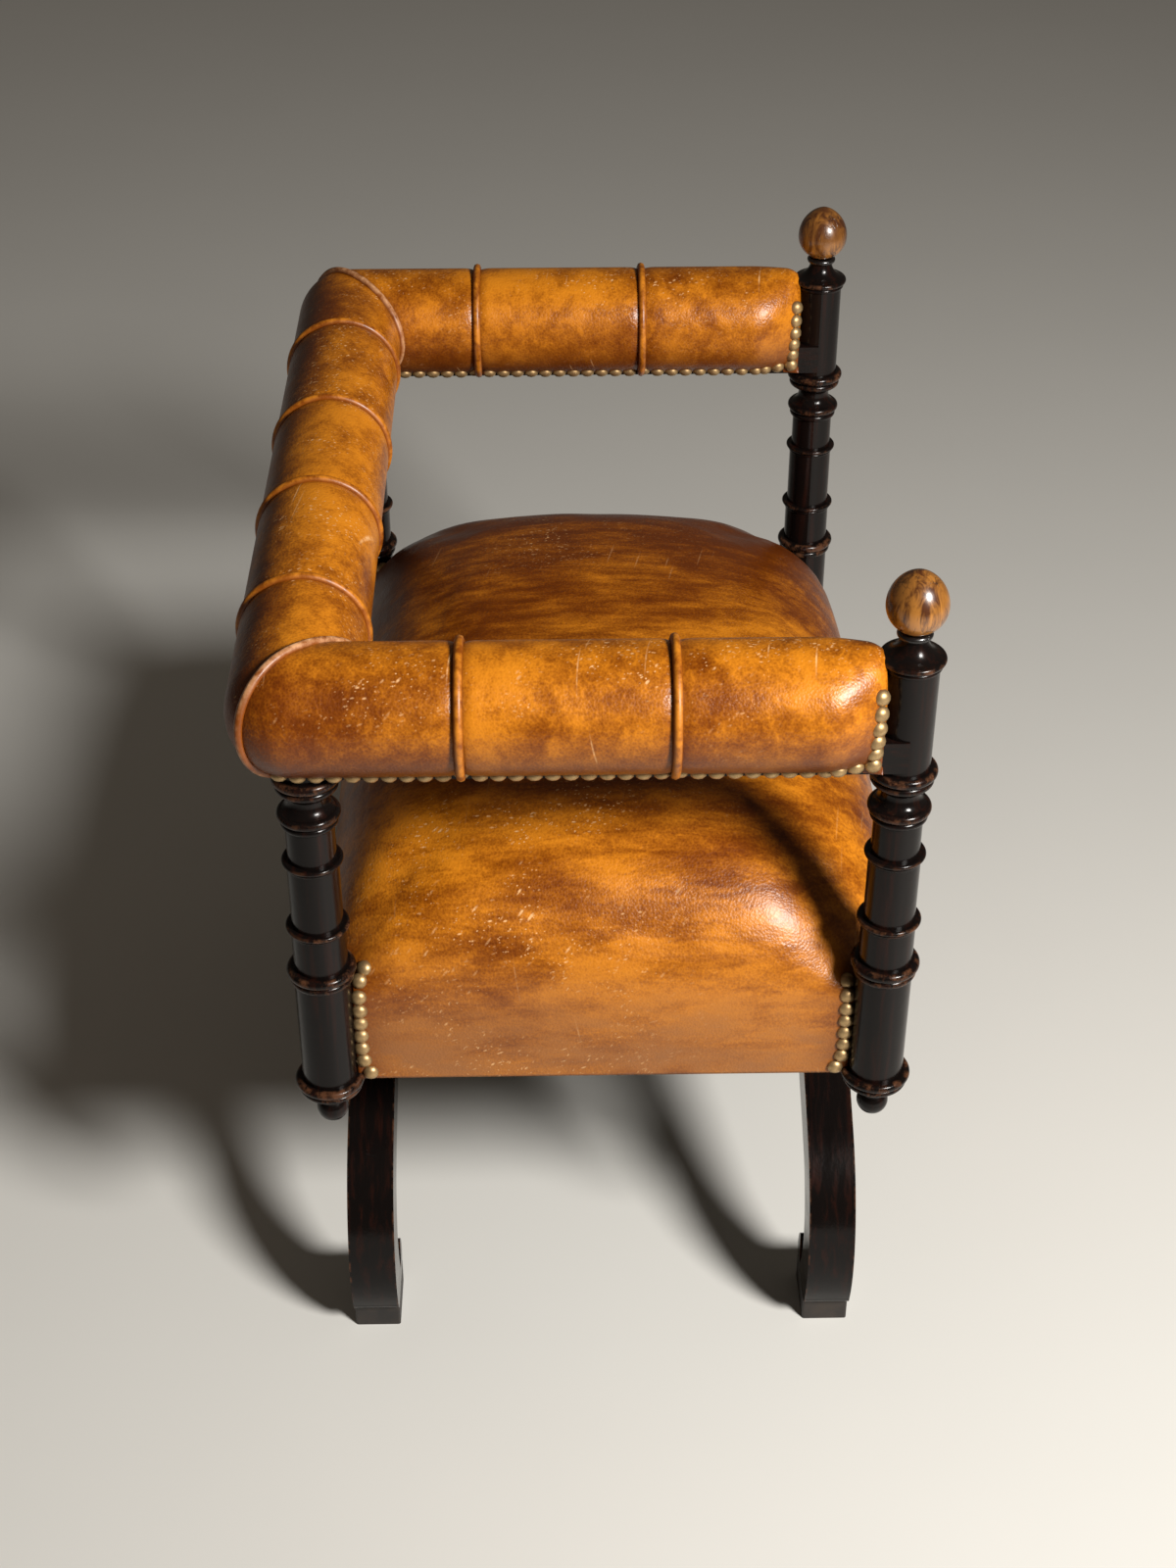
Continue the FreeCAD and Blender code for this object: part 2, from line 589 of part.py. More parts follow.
def leg_blank():
    """Outline of the leg with its foot on the left, as a solid of the frame's full depth."""
    knee = Vector(-KNEE_X, 0, KNEE_HEIGHT)
    rise, radius = rise_centre()
    half = LEG_THICKNESS / 2
    turn = 90 + KNEE_SLOPE_DEGREES
    outer = radius + half
    inner = radius - half
    outer_end = math.degrees(math.acos((LEG_END_X - rise.x) / outer))
    inner_end = math.degrees(math.acos((LEG_END_X - rise.x) / inner))
    knee_inner = KNEE_RADIUS - half
    toe = on_arc(knee, KNEE_RADIUS + half, 180 + FOOT_CURL_DEGREES)
    sole_start = Vector(toe.x + FOOT_TOE, 0, PAD_HEIGHT)
    sole_end = Vector(sole_start.x + FOOT_LENGTH, 0, PAD_HEIGHT)
    notch_z = PAD_HEIGHT + NOTCH_RISE
    notch_angle = 180 + math.degrees(math.asin((KNEE_HEIGHT - notch_z) / knee_inner))
    notch_start = on_arc(knee, knee_inner, notch_angle)
    notch_end = Vector(notch_start.x + NOTCH_WIDTH, 0, notch_z)
    notch_low = Vector(notch_start.x + NOTCH_WIDTH / 2, 0, notch_z - NOTCH_WIDTH / 2)
    tip = Vector(-POST_X + HOOK_TIP_IN, 0, PAD_HEIGHT + HOOK_RISE)
    bulge = Vector(-POST_X + HOOK_BULGE_IN, 0, PAD_HEIGHT + HOOK_BULGE_RISE)
    hollow = (notch_end + tip) * 0.5 + Vector(HOOK_HOLLOW, 0, -HOOK_HOLLOW)
    toe_round = (toe + sole_start) * 0.5 + Vector(-TOE_ROUND, 0, -TOE_ROUND)
    outline = [
        arc_edge(knee, KNEE_RADIUS + half, 180 + FOOT_CURL_DEGREES, turn),
        arc_edge(rise, outer, turn, outer_end),
        Part.makeLine(on_arc(rise, outer, outer_end), on_arc(rise, inner, inner_end)),
        arc_edge(rise, inner, inner_end, turn),
        arc_edge(knee, knee_inner, turn, notch_angle),
        Part.Arc(notch_start, notch_low, notch_end).toShape(),
        Part.Arc(notch_end, hollow, tip).toShape(),
        Part.Arc(tip, bulge, sole_end).toShape(),
        Part.makeLine(sole_end, sole_start),
        Part.Arc(sole_start, toe_round, toe).toShape(),
    ]
    face = Part.Face(Part.Wire(Part.sortEdges(outline)[0]))
    solid = face.extrude(Vector(0, LEG_DEPTH, 0))
    solid.translate(Vector(0, -LEG_OUTER_Y, 0))
    above_rail = box(-FAR, FAR, -FAR, FAR, LONG_RAIL_Z, FAR)
    return solid.cut(above_rail)


def crossing_room(outer_half):
    """Room for the other leg of the frame where the two are halved together."""
    rise, radius = rise_centre()
    half = LEG_THICKNESS / 2 + JOINT_GAP
    edge = LEG_OUTER_Y if outer_half else LEG_INNER_Y
    low_y, high_y = sorted((-edge, -LEG_MID_Y))
    ring = []
    for size in (radius + half, radius - half):
        bar = Part.makeCylinder(size, high_y - low_y, Vector(rise.x, low_y, rise.z), Vector(0, 1, 0))
        ring.append(bar)
    window = box(-LEG_END_X, LEG_END_X, low_y, high_y, 0, FAR)
    return ring[0].cut(ring[1]).common(window)


def leg_screw_places():
    """Two screw axes near the upper end of the left-footed leg of the front frame."""
    y = -(LEG_OUTER_Y + RAIL_FACE_Y - RAIL_THICKNESS) / 2
    land = LEG_END_X - land_start()
    return [(LEG_END_X - SCREW_MARGIN, y), (LEG_END_X - land / 2 - SCREW_MARGIN / 2, y)]


def leg_screw(x, y):
    """Plain wood screw, head down, that holds a leg to the rail above it."""
    low = LONG_RAIL_Z - SCREW_IN_LEG
    head = rod(SCREW_HEAD_RADIUS, Vector(x, y, low - SCREW_HEAD_HEIGHT), Vector(x, y, low))
    shank = rod(SCREW_RADIUS, Vector(x, y, low), Vector(x, y, LONG_RAIL_Z + SCREW_IN_RAIL))
    return one_piece(head.fuse(shank))


def leg_screw_holes():
    """Holes for the screws of both legs of the front frame, in the legs and in the rail."""
    holes = []
    for x, y in leg_screw_places():
        for side in (-1, 1):
            low = LONG_RAIL_Z - SCREW_IN_LEG
            shank = rod(SCREW_RADIUS + JOINT_GAP, Vector(side * x, y, low),
                        Vector(side * x, y, LONG_RAIL_Z + SCREW_IN_RAIL + JOINT_GAP))
            bore = rod(SCREW_HEAD_RADIUS + JOINT_GAP, Vector(side * x, y, 0), Vector(side * x, y, low))
            holes.extend((shank, bore))
    return holes


def front_left_leg():
    """Leg of the front frame with its foot on the left: it keeps the outer half at the crossing."""
    other = mirror_x(crossing_room(False))
    return one_piece(leg_blank().cut(other).cut(leg_screw_holes()))


def front_right_leg():
    """Leg of the front frame with its foot on the right: it keeps the inner half."""
    other = crossing_room(True)
    dowel_hole = rod(STRETCHER_DOWEL_RADIUS + JOINT_GAP,
                     Vector(0, -LEG_INNER_Y - STRETCHER_DOWEL_LENGTH - JOINT_GAP, crossing_height()),
                     Vector(0, 0, crossing_height()))
    return one_piece(mirror_x(leg_blank()).cut(other).cut(leg_screw_holes()).cut(dowel_hole))


def foot_pad():
    """Block under the front left foot, with its upright edges rounded."""
    toe_x = on_arc(Vector(-KNEE_X, 0, KNEE_HEIGHT), KNEE_RADIUS + LEG_THICKNESS / 2, 180 + FOOT_CURL_DEGREES).x
    start = toe_x + FOOT_TOE
    pad = box(start, start + PAD_LENGTH, -LEG_OUTER_Y, -LEG_INNER_Y, 0, PAD_HEIGHT)
    upright = [edge for edge in pad.Edges if abs(edge.tangentAt(edge.FirstParameter).z) > 0.9]
    return pad.makeFillet(PAD_ROUND, upright)


def stretcher():
    """Turned bar between the two crossings."""
    half = LEG_INNER_Y
    ring = STRETCHER_RING_HEIGHT
    bar = Turning(0, -half - STRETCHER_DOWEL_LENGTH)
    bar.to(STRETCHER_DOWEL_RADIUS, bar.here.z)
    bar.to(STRETCHER_DOWEL_RADIUS, -half)
    bar.to(STRETCHER_END_RADIUS, -half)
    bar.through(STRETCHER_SWELL_RADIUS, -half / 2, STRETCHER_RADIUS, -ring / 2)
    bar.ring(0, STRETCHER_RING_RADIUS, ring)
    bar.to(STRETCHER_RADIUS, ring / 2)
    bar.through(STRETCHER_SWELL_RADIUS, half / 2, STRETCHER_END_RADIUS, half)
    bar.to(STRETCHER_DOWEL_RADIUS, half)
    bar.to(STRETCHER_DOWEL_RADIUS, half + STRETCHER_DOWEL_LENGTH)
    solid = bar.solid()
    solid.rotate(Vector(0, 0, 0), Vector(1, 0, 0), 90)
    solid.translate(Vector(0, 0, crossing_height()))
    return solid


def left_half_plane():
    """Everything on the left arm's side of its mitre with the back roll."""
    mitre = Vector(-POST_X, BACK_ROLL_Y, 0)
    corners = [mitre + Vector(FAR, -FAR, -FAR), mitre + Vector(-FAR, FAR, -FAR),
               mitre + Vector(-FAR, -FAR, -FAR)]
    face = Part.Face(Part.makePolygon(corners + corners[:1]))
    return face.extrude(Vector(0, 0, 2 * FAR))


def left_arm_bar(radius, inset):
    """Round bar of the left arm, with a ball at the back corner and a rounded front end."""
    edge_round = ROLL_END_ROUND - inset
    length = BACK_ROLL_Y - ARM_END_Y - inset
    outline = Turning(0, -radius)
    outline.about(0, 0, radius, 0)
    outline.to(radius, length - edge_round)
    outline.about(radius - edge_round, length - edge_round, radius - edge_round, length)
    bar = outline.solid()
    bar.rotate(Vector(0, 0, 0), Vector(1, 0, 0), 90)
    bar.translate(Vector(-POST_X, BACK_ROLL_Y, ROLL_AXIS_Z))
    return bar


def back_bar(radius):
    """Round bar of the back roll, with a ball at both corners."""
    outline = Turning(0, -POST_X - radius)
    outline.about(0, -POST_X, radius, -POST_X)
    outline.to(radius, POST_X)
    outline.about(0, POST_X, 0, POST_X + radius)
    bar = outline.solid()
    bar.rotate(Vector(0, 0, 0), Vector(0, 1, 0), 90)
    bar.translate(Vector(0, BACK_ROLL_Y, ROLL_AXIS_Z))
    return bar


def between_mitres(shape):
    arm = left_half_plane()
    return shape.cut(arm).cut(mirror_x(arm))


def arm_rail_room(gap):
    """Space of the left arm's wooden rail, open below."""
    half = ROLL_RAIL_WIDTH / 2 + gap
    top = ROLL_RAIL_Z + ROLL_RAIL_HEIGHT + gap
    end = BACK_ROLL_Y + half
    return box(-POST_X - half, -POST_X + half, -POST_Y, end, ROLL_RAIL_Z - ROLL_RADIUS, top)


def back_rail_room(gap):
    """Space of the back roll's wooden rail, open below."""
    half = ROLL_RAIL_WIDTH / 2 + gap
    top = ROLL_RAIL_Z + ROLL_RAIL_HEIGHT + gap
    reach = POST_X + half
    return box(-reach, reach, BACK_ROLL_Y - half, BACK_ROLL_Y + half, ROLL_RAIL_Z - ROLL_RADIUS, top)


def rail_rooms(gap):
    arm = arm_rail_room(gap)
    return [arm, mirror_x(arm), back_rail_room(gap)]


def below_edge():
    """Everything lower than the edge where the leather is nailed to the rails."""
    return box(-FAR, FAR, -FAR, FAR, 0, ROLL_EDGE_Z)


def arm_welts(gap):
    """Piped seams round the left arm, as flat bands let into the leather."""
    welts = []
    half = WELT_WIDTH / 2 + gap
    for y in [share * POST_Y for share in ARM_WELT_SHARES]:
        start = Vector(-POST_X, y - half, ROLL_AXIS_Z)
        end = Vector(-POST_X, y + half, ROLL_AXIS_Z)
        band = rod(ROLL_RADIUS + WELT_PROUD + gap, start, end)
        welts.append(band.cut(rod(ROLL_RADIUS - WELT_SUNK - gap, start, end)))
    return welts


def back_welts(gap):
    """Piped seams round the back roll."""
    welts = []
    half = WELT_WIDTH / 2 + gap
    for x in [share * POST_X for share in BACK_WELT_SHARES]:
        start = Vector(x - half, BACK_ROLL_Y, ROLL_AXIS_Z)
        end = Vector(x + half, BACK_ROLL_Y, ROLL_AXIS_Z)
        band = rod(ROLL_RADIUS + WELT_PROUD + gap, start, end)
        welts.append(band.cut(rod(ROLL_RADIUS - WELT_SUNK - gap, start, end)))
    return welts


def mitre_welt(gap):
    """Piped seam on the left mitre, following the rounded corner."""
    half = WELT_WIDTH / 2 + gap
    slab = box(-half, half, -FAR, FAR, 0, FAR)
    slab.rotate(Vector(0, 0, 0), Vector(0, 0, 1), 45)
    slab.translate(Vector(-POST_X, BACK_ROLL_Y, 0))
    outer = ROLL_RADIUS + WELT_PROUD + gap
    inner = ROLL_RADIUS - WELT_SUNK - gap
    arm_side = left_arm_bar(outer, 0).cut(left_arm_bar(inner, 0)).common(slab)
    back_side = back_bar(outer).cut(back_bar(inner)).common(slab)
    return arm_side.common(left_half_plane()).fuse(back_side.cut(left_half_plane()))


def left_arm_leather():
    hollow = left_arm_bar(ROLL_RADIUS - LEATHER_THICKNESS, LEATHER_THICKNESS)
    skin = left_arm_bar(ROLL_RADIUS, 0).cut(hollow).common(left_half_plane())
    open_below = skin.cut(rail_rooms(FIT_GAP)).cut(below_edge())
    seams = arm_welts(JOINT_GAP) + [mitre_welt(JOINT_GAP)]
    return one_piece(without(open_below, seams).cut(post_room(-POST_X, -POST_Y)))


def left_arm_stuffing():
    pad = left_arm_bar(ROLL_RADIUS - LEATHER_THICKNESS - FIT_GAP, LEATHER_THICKNESS + FIT_GAP)
    clear = pad.common(left_half_plane()).cut(rail_rooms(FIT_GAP)).cut(below_edge())
    return one_piece(clear.cut(post_room(-POST_X, -POST_Y)))


def back_roll_leather():
    skin = between_mitres(back_bar(ROLL_RADIUS).cut(back_bar(ROLL_RADIUS - LEATHER_THICKNESS)))
    open_below = skin.cut(rail_rooms(FIT_GAP)).cut(below_edge())
    corner = mitre_welt(JOINT_GAP)
    return one_piece(without(open_below, back_welts(JOINT_GAP) + [corner, mirror_x(corner)]))


def back_roll_stuffing():
    pad = between_mitres(back_bar(ROLL_RADIUS - LEATHER_THICKNESS - FIT_GAP))
    return one_piece(pad.cut(rail_rooms(FIT_GAP)).cut(below_edge()))


def trimmed_welts(welts):
    """Seams cut off at the edge of the leather."""
    rooms = rail_rooms(FIT_GAP)
    kept = [welt.cut(rooms).cut(below_edge()) for welt in welts]
    return Part.makeCompound([one_piece(welt) for welt in kept])


def round_outer_corners(bar):
    """Roll rail with the corners over the back posts rounded to follow the leather."""
    corner_x = POST_X + ROLL_RAIL_WIDTH / 2
    corner_y = BACK_ROLL_Y + ROLL_RAIL_WIDTH / 2
    edges = []
    for edge in bar.Edges:
        middle = (edge.Vertexes[0].Point + edge.Vertexes[1].Point) * 0.5
        if math.hypot(abs(middle.x) - corner_x, middle.y - corner_y) < FIT_GAP:
            edges.append(edge)
    return bar.makeFillet(ROLL_RAIL_CORNER, edges)


def left_arm_rail():
    """Wooden rail in the left arm: dowelled into the front post, halved over the back post."""
    half = ROLL_RAIL_WIDTH / 2
    top = ROLL_RAIL_Z + ROLL_RAIL_HEIGHT
    middle = ROLL_RAIL_Z + ROLL_RAIL_HEIGHT / 2
    bar = box(-POST_X - half, -POST_X + half, -POST_Y, BACK_ROLL_Y + half, ROLL_RAIL_Z, top)
    bar = round_outer_corners(bar)
    lap = box(-POST_X - half, -POST_X + half, BACK_ROLL_Y - half, BACK_ROLL_Y + half, middle, top)
    hole = rod(POST_DOWEL_RADIUS + JOINT_GAP, Vector(-POST_X, POST_Y, 0), Vector(-POST_X, POST_Y, FAR))
    body = bar.cut([lap, hole, post_room(-POST_X, -POST_Y)])
    body = max(body.Solids, key=lambda solid: solid.Volume)
    return one_piece(body.fuse(arm_dowel(0)))


def arm_dowel(gap):
    """Round end of the left arm rail inside its front post."""
    height = ROLL_RAIL_Z + ROLL_RAIL_HEIGHT / 2
    start = Vector(-POST_X, -POST_Y + ARM_DOWEL_STOP - gap, height)
    end = Vector(-POST_X, ARM_END_Y + ROLL_END_LAP + CUT_PAST, height)
    return rod(ARM_DOWEL_RADIUS + gap, start, end)


def back_top_rail():
    """Wooden rail in the back roll, halved over the arm rails at both corners."""
    half = ROLL_RAIL_WIDTH / 2
    top = ROLL_RAIL_Z + ROLL_RAIL_HEIGHT
    middle = ROLL_RAIL_Z + ROLL_RAIL_HEIGHT / 2
    reach = POST_X + half
    bar = round_outer_corners(box(-reach, reach, BACK_ROLL_Y - half, BACK_ROLL_Y + half, ROLL_RAIL_Z, top))
    cuts = []
    for _, sx in SIDES:
        cuts.append(box(sx * (POST_X - half), sx * reach, BACK_ROLL_Y - half, BACK_ROLL_Y + half,
                        ROLL_RAIL_Z, middle))
        cuts.append(rod(POST_DOWEL_RADIUS + JOINT_GAP, Vector(sx * POST_X, POST_Y, 0),
                        Vector(sx * POST_X, POST_Y, top - POST_DOWEL_COVER + FIT_GAP)))
    return one_piece(bar.cut(cuts))


def save_left_and_right(name, left_shape):
    """Save a left-hand piece and its mirror image, with the side put into the name's place."""
    save(name.format(side="left"), left_shape)
    save(name.format(side="right"), mirror_x(left_shape))


def save_four(name, front_left_shape):
    """Save a front left piece and its three mirror images."""
    for end, sy in ENDS:
        shape = front_left_shape if sy < 0 else mirror_y(front_left_shape)
        save_left_and_right(end + "_{side}_" + name, shape)


def build_posts():
    mortises = [side_tenons(JOINT_GAP), long_tenons(JOINT_GAP)]
    front = front_post_blank().translated(Vector(-POST_X, -POST_Y, 0))
    save_left_and_right("front_{side}_post", front.cut(mortises + [arm_dowel(JOINT_GAP)]))
    back = back_post_blank().translated(Vector(-POST_X, POST_Y, 0))
    save_left_and_right("back_{side}_post", back.cut([mortises[0], mirror_y(mortises[1])]))
    save_left_and_right("front_{side}_finial", finial().translated(Vector(-POST_X, -POST_Y, 0)))


def build_seat():
    save_left_and_right("{side}_seat_rail", left_seat_rail())
    front = front_seat_rail()
    save("front_seat_rail", front)
    save("back_seat_rail", mirror_y(front))
    save_four("corner_block", corner_block())
    save("crosswise_webbing", crosswise_straps())
    save("lengthwise_webbing", lengthwise_straps())
    save("seat_springs", seat_springs())
    save("spring_canvas", spring_canvas())
    save("seat_stuffing", seat_stuffing())
    save("seat_leather", seat_leather())
    save("bottom_cloth", bottom_cloth())


def build_roll():
    save_left_and_right("{side}_arm_rail", left_arm_rail())
    save("back_top_rail", back_top_rail())
    save_left_and_right("{side}_arm_stuffing", left_arm_stuffing())
    save("back_roll_stuffing", back_roll_stuffing())
    save_left_and_right("{side}_arm_leather", left_arm_leather())
    save("back_roll_leather", back_roll_leather())
    save_left_and_right("{side}_arm_piping", trimmed_welts(arm_welts(0)))
    save("back_roll_piping", trimmed_welts(back_welts(0)))
    save_left_and_right("{side}_mitre_piping", trimmed_welts([mitre_welt(0)]))


def build_legs():
    left = front_left_leg()
    right = front_right_leg()
    save("front_left_leg", left)
    save("front_right_leg", right)
    save("back_left_leg", mirror_y(left))
    save("back_right_leg", mirror_y(right))
    save_four("foot_pad", foot_pad())
    save("stretcher", stretcher())
    front = [leg_screw(x, y) for x, y in leg_screw_places()]
    front += [mirror_x(screw) for screw in front]
    save("leg_screws", Part.makeCompound(front + [mirror_y(screw) for screw in front]))


os.makedirs("parts", exist_ok=True)
build_posts()
build_seat()
build_roll()
build_legs()
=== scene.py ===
"""Ebonised stool: leather, piping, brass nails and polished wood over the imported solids."""
import math

import bmesh
import bpy
from bpy.props import FloatProperty, FloatVectorProperty, IntProperty, PointerProperty
from mathutils import Matrix, Vector, noise
from mathutils.bvhtree import BVHTree


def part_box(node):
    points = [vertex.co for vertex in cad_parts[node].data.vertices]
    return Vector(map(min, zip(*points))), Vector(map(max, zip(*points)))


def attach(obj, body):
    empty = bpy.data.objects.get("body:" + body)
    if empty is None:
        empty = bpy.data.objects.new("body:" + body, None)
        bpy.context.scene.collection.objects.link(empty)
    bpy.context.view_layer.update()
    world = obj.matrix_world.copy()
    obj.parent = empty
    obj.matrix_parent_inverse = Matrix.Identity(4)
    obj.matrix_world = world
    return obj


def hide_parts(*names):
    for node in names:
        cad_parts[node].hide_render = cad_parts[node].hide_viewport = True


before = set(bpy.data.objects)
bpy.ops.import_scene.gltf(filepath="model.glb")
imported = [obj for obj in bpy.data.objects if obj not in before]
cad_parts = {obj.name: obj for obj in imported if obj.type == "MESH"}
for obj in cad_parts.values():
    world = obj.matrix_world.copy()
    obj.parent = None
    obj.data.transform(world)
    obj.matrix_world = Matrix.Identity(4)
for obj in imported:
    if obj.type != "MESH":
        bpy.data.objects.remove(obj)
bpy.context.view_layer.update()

bl_info = {
    "name": "Ebonised stool",
    "version": (1, 0, 0),
    "blender": (4, 5, 0),
    "location": "View3D > Sidebar > Stool",
    "description": "Dresses the stool's solids with leather, piping, brass nails and polished wood",
    "category": "Object",
}

UP = Vector((0, 0, 1))
DOWN = Vector((0, 0, -1))
SIDES = (("left", -1), ("right", 1))
ENDS = ("front", "back")


def middle(node):
    """Middle of a solid's box."""
    low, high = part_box(node)
    return (low + high) / 2


# Half the width of a solid's piping, and how far an arm's cover stays behind the end of its solid, in metres
BAND_HALF = 0.0025
ARM_END_GAP = 0.004
# The back's inner and outer seams lie at these shares of its half length
INNER_SHARE = 0.22
OUTER_SHARE = 0.68
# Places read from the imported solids
POSTS = {(end, side): middle(f"{end}_{side}_post") for end in ENDS for side, _ in SIDES}
POST_X = POSTS["front", "right"].x
ARM_LOW, ARM_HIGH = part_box("left_arm_leather")
BACK_LOW, BACK_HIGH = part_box("back_roll_leather")
ROLL_RADIUS = (ARM_HIGH.x - ARM_LOW.x) / 2
ROLL_Z = ARM_HIGH.z - ROLL_RADIUS
ROLL_EDGE_Z = ARM_LOW.z
BACK_Y = (BACK_LOW.y + BACK_HIGH.y) / 2
ARM_END = ARM_LOW.y + ARM_END_GAP
SEAT_LOW, SEAT_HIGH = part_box("seat_leather")
SEAT_MID_Y = (SEAT_LOW.y + SEAT_HIGH.y) / 2
ARM_PIPE_LOW, ARM_PIPE_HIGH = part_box("left_arm_piping")
BACK_PIPE_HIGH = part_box("back_roll_piping")[1]
ARM_WELTS = (ARM_PIPE_LOW.y + BAND_HALF, ARM_PIPE_HIGH.y - BAND_HALF)
OUTER_WELT = BACK_PIPE_HIGH.x - BAND_HALF
INNER_WELT = OUTER_WELT * INNER_SHARE / OUTER_SHARE
BACK_WELTS = (-OUTER_WELT, -INNER_WELT, INNER_WELT, OUTER_WELT)
EDGE_ANGLE = math.acos((ROLL_Z - ROLL_EDGE_Z) / ROLL_RADIUS)


def length(name, description, default):
    """A size that a user can change, in metres."""
    return FloatProperty(name=name, description=description, default=default, unit='LENGTH')


def tint(name, description, default):
    """A colour that a user can change."""
    return FloatVectorProperty(name=name, description=description, default=default, subtype='COLOR')


def location(name, description, default):
    """A place that a user can change, in metres."""
    return FloatVectorProperty(name=name, description=description, default=default, subtype='TRANSLATION')


class SeatSettings(bpy.types.PropertyGroup):
    """Shape of the sprung seat cover"""
    long_radius: length("Long radius", "Radius of the crown from arm to arm", 1.2)
    cross_radius: length("Cross radius", "Radius of the crown from front to back", 0.68)
    edge_round: length("Edge round", "Rounding of the upper edges", 0.062)
    face_height: length("Face height", "Height of the upright faces below the edge round", 0.074)
    tuck: length("Tuck", "How far the leather is pulled down beside a post", 0.050)
    tuck_reach: length("Tuck reach", "How far from a post the pull is felt", 0.082)
    fold: length("Fold", "Depth of the fold that runs in from a post", 0.012)
    bulge: length("Bulge", "How far the front swells forward between its posts", 0.0220)
    start_inset: length("Start inset", "How much smaller the cover starts before it swells", 0.002)
    cell: length("Cell", "Size of the cover's faces before subdivision", 0.0064)
    swell: length("Swell", "Furthest that the stuffing pushes the leather", 0.004)
    pressure: FloatProperty(name="Pressure", description="Push of the stuffing", default=4.0)
    stiffness: FloatProperty(name="Stiffness", description="How hard the hide is to stretch", default=18.0)
    shaft_radius: length("Post shaft radius", "Room round a post's shaft", 0.0206)
    ring_radius: length("Post ring radius", "Room round the double ring on a post", 0.0254)
    ring_low: length("Ring underside", "Where the double ring begins", 0.3755)
    ring_high: length("Ring top", "Where the double ring ends", 0.3905)


class RollSettings(bpy.types.PropertyGroup):
    """Shape of the padded roll and its piping"""
    segments: IntProperty(name="Segments", description="Faces round the roll", default=56)
    spacing: length("Spacing", "Distance between rings of faces", 0.005)
    groove: length("Groove", "How far a seam pulls the leather in", 0.0028)
    groove_width: length("Groove width", "Reach of the pull on each side of a seam", 0.009)
    swell: length("Swell", "Furthest that the stuffing pushes the leather", 0.003)
    end_taper: length("End taper", "Length over which an arm narrows to its post", 0.044)
    end_half: length("End half width", "Half the width of an arm at its post", 0.0226)
    end_round: length("End round", "Length of the rounding on top of an arm's end", 0.012)
    end_drop: length("End drop", "How far the top comes down at an arm's end", 0.006)
    piping_radius: length("Piping radius", "Half the thickness of the piping", 0.0032)
    pressure: FloatProperty(name="Pressure", description="Push of the stuffing", default=4.0)
    stiffness: FloatProperty(name="Stiffness", description="How hard the hide is to stretch", default=15.0)
    leather: length("Leather", "Thickness of the hide", 0.0018)


class NailSettings(bpy.types.PropertyGroup):
    """Size and spacing of the brass nails"""
    radius: length("Head radius", "Half the width of a nail's head", 0.0061)
    height: length("Head height", "How far a head stands up", 0.0046)
    pitch: length("Pitch", "Distance from nail to nail", 0.0115)
    wide_pitch: length("Wide pitch", "Distance from nail to nail along the roll", 0.0122)
    colour: tint("Brass", "Colour of the rubbed brass", (0.44, 0.295, 0.140))
    patina: tint("Patina", "Colour of the dull brass", (0.25, 0.155, 0.068))


class LeatherSettings(bpy.types.PropertyGroup):
    """Colours of the worn hide"""
    light: tint("Light tan", "Rubbed places", (0.57, 0.192, 0.009))
    mid: tint("Tan", "Main colour", (0.28, 0.069, 0.0015))
    # The dark brown also serves as painted shade round the seat's posts
    dark: tint("Dark brown", "Clouds and creases", (0.100, 0.0195, 0.0010))
    dusty: tint("Dusty brown", "Dull places low down", (0.29, 0.108, 0.028))
    scuff: tint("Scuff", "Flecks where the finish is gone", (0.72, 0.42, 0.19))
    piping: tint("Piping", "Worn top of the piping", (0.62, 0.33, 0.16))


class WoodSettings(bpy.types.PropertyGroup):
    """Colours of the polished wood"""
    black: tint("Black", "Ebonised polish", (0.0042, 0.0029, 0.0026))
    red: tint("Red brown", "Wood that shows through the polish", (0.016, 0.0045, 0.0027))
    worn: tint("Worn edge", "Bare wood on rubbed edges", (0.15, 0.060, 0.027))
    golden: tint("Golden brown", "Light wood of the finials", (0.36, 0.145, 0.023))
    streak: tint("Streak", "Dark streaks of the finials", (0.060, 0.018, 0.005))


class StageSettings(bpy.types.PropertyGroup):
    """Floor, light and camera"""
    floor: tint("Floor", "Colour of the floor", (0.70, 0.690, 0.655))
    floor_size: length("Floor size", "Side of the floor", 80.0)
    key_place: location("Lamp place", "Where the lamp hangs", (-1.63, -1.35, 1.88))
    key_aim: location("Lamp aim", "Where the lamp points", (0.7, 0.7, 0.4))
    key_size: length("Lamp size", "Width of the lamp's panel", 0.62)
    key_power: FloatProperty(name="Lamp power", description="Strength of the lamp",
                             default=110.0, unit='POWER')
    key_colour: tint("Lamp colour", "Colour of the lamp's light", (1.0, 0.972, 0.93))
    fill: FloatProperty(name="Fill", description="Strength of the light from all round", default=0.075)
    fill_colour: tint("Fill colour", "Colour of the light from all round", (1.0, 0.86, 0.70))
    camera_place: location("Camera place", "Where the camera stands", (-1.6075, 0.02155, 1.4578))
    camera_tilt: FloatProperty(name="Camera tilt", description="Angle below the horizon",
                               default=math.radians(35.1376), subtype='ANGLE')
    camera_turn: FloatProperty(name="Camera turn", description="Heading from the +X axis",
                               default=math.radians(-1.0634), subtype='ANGLE')
    lens: FloatProperty(name="Lens", description="Focal length in millimetres", default=54.393)
    sensor: FloatProperty(name="Sensor", description="Width of the sensor in millimetres", default=36.0)


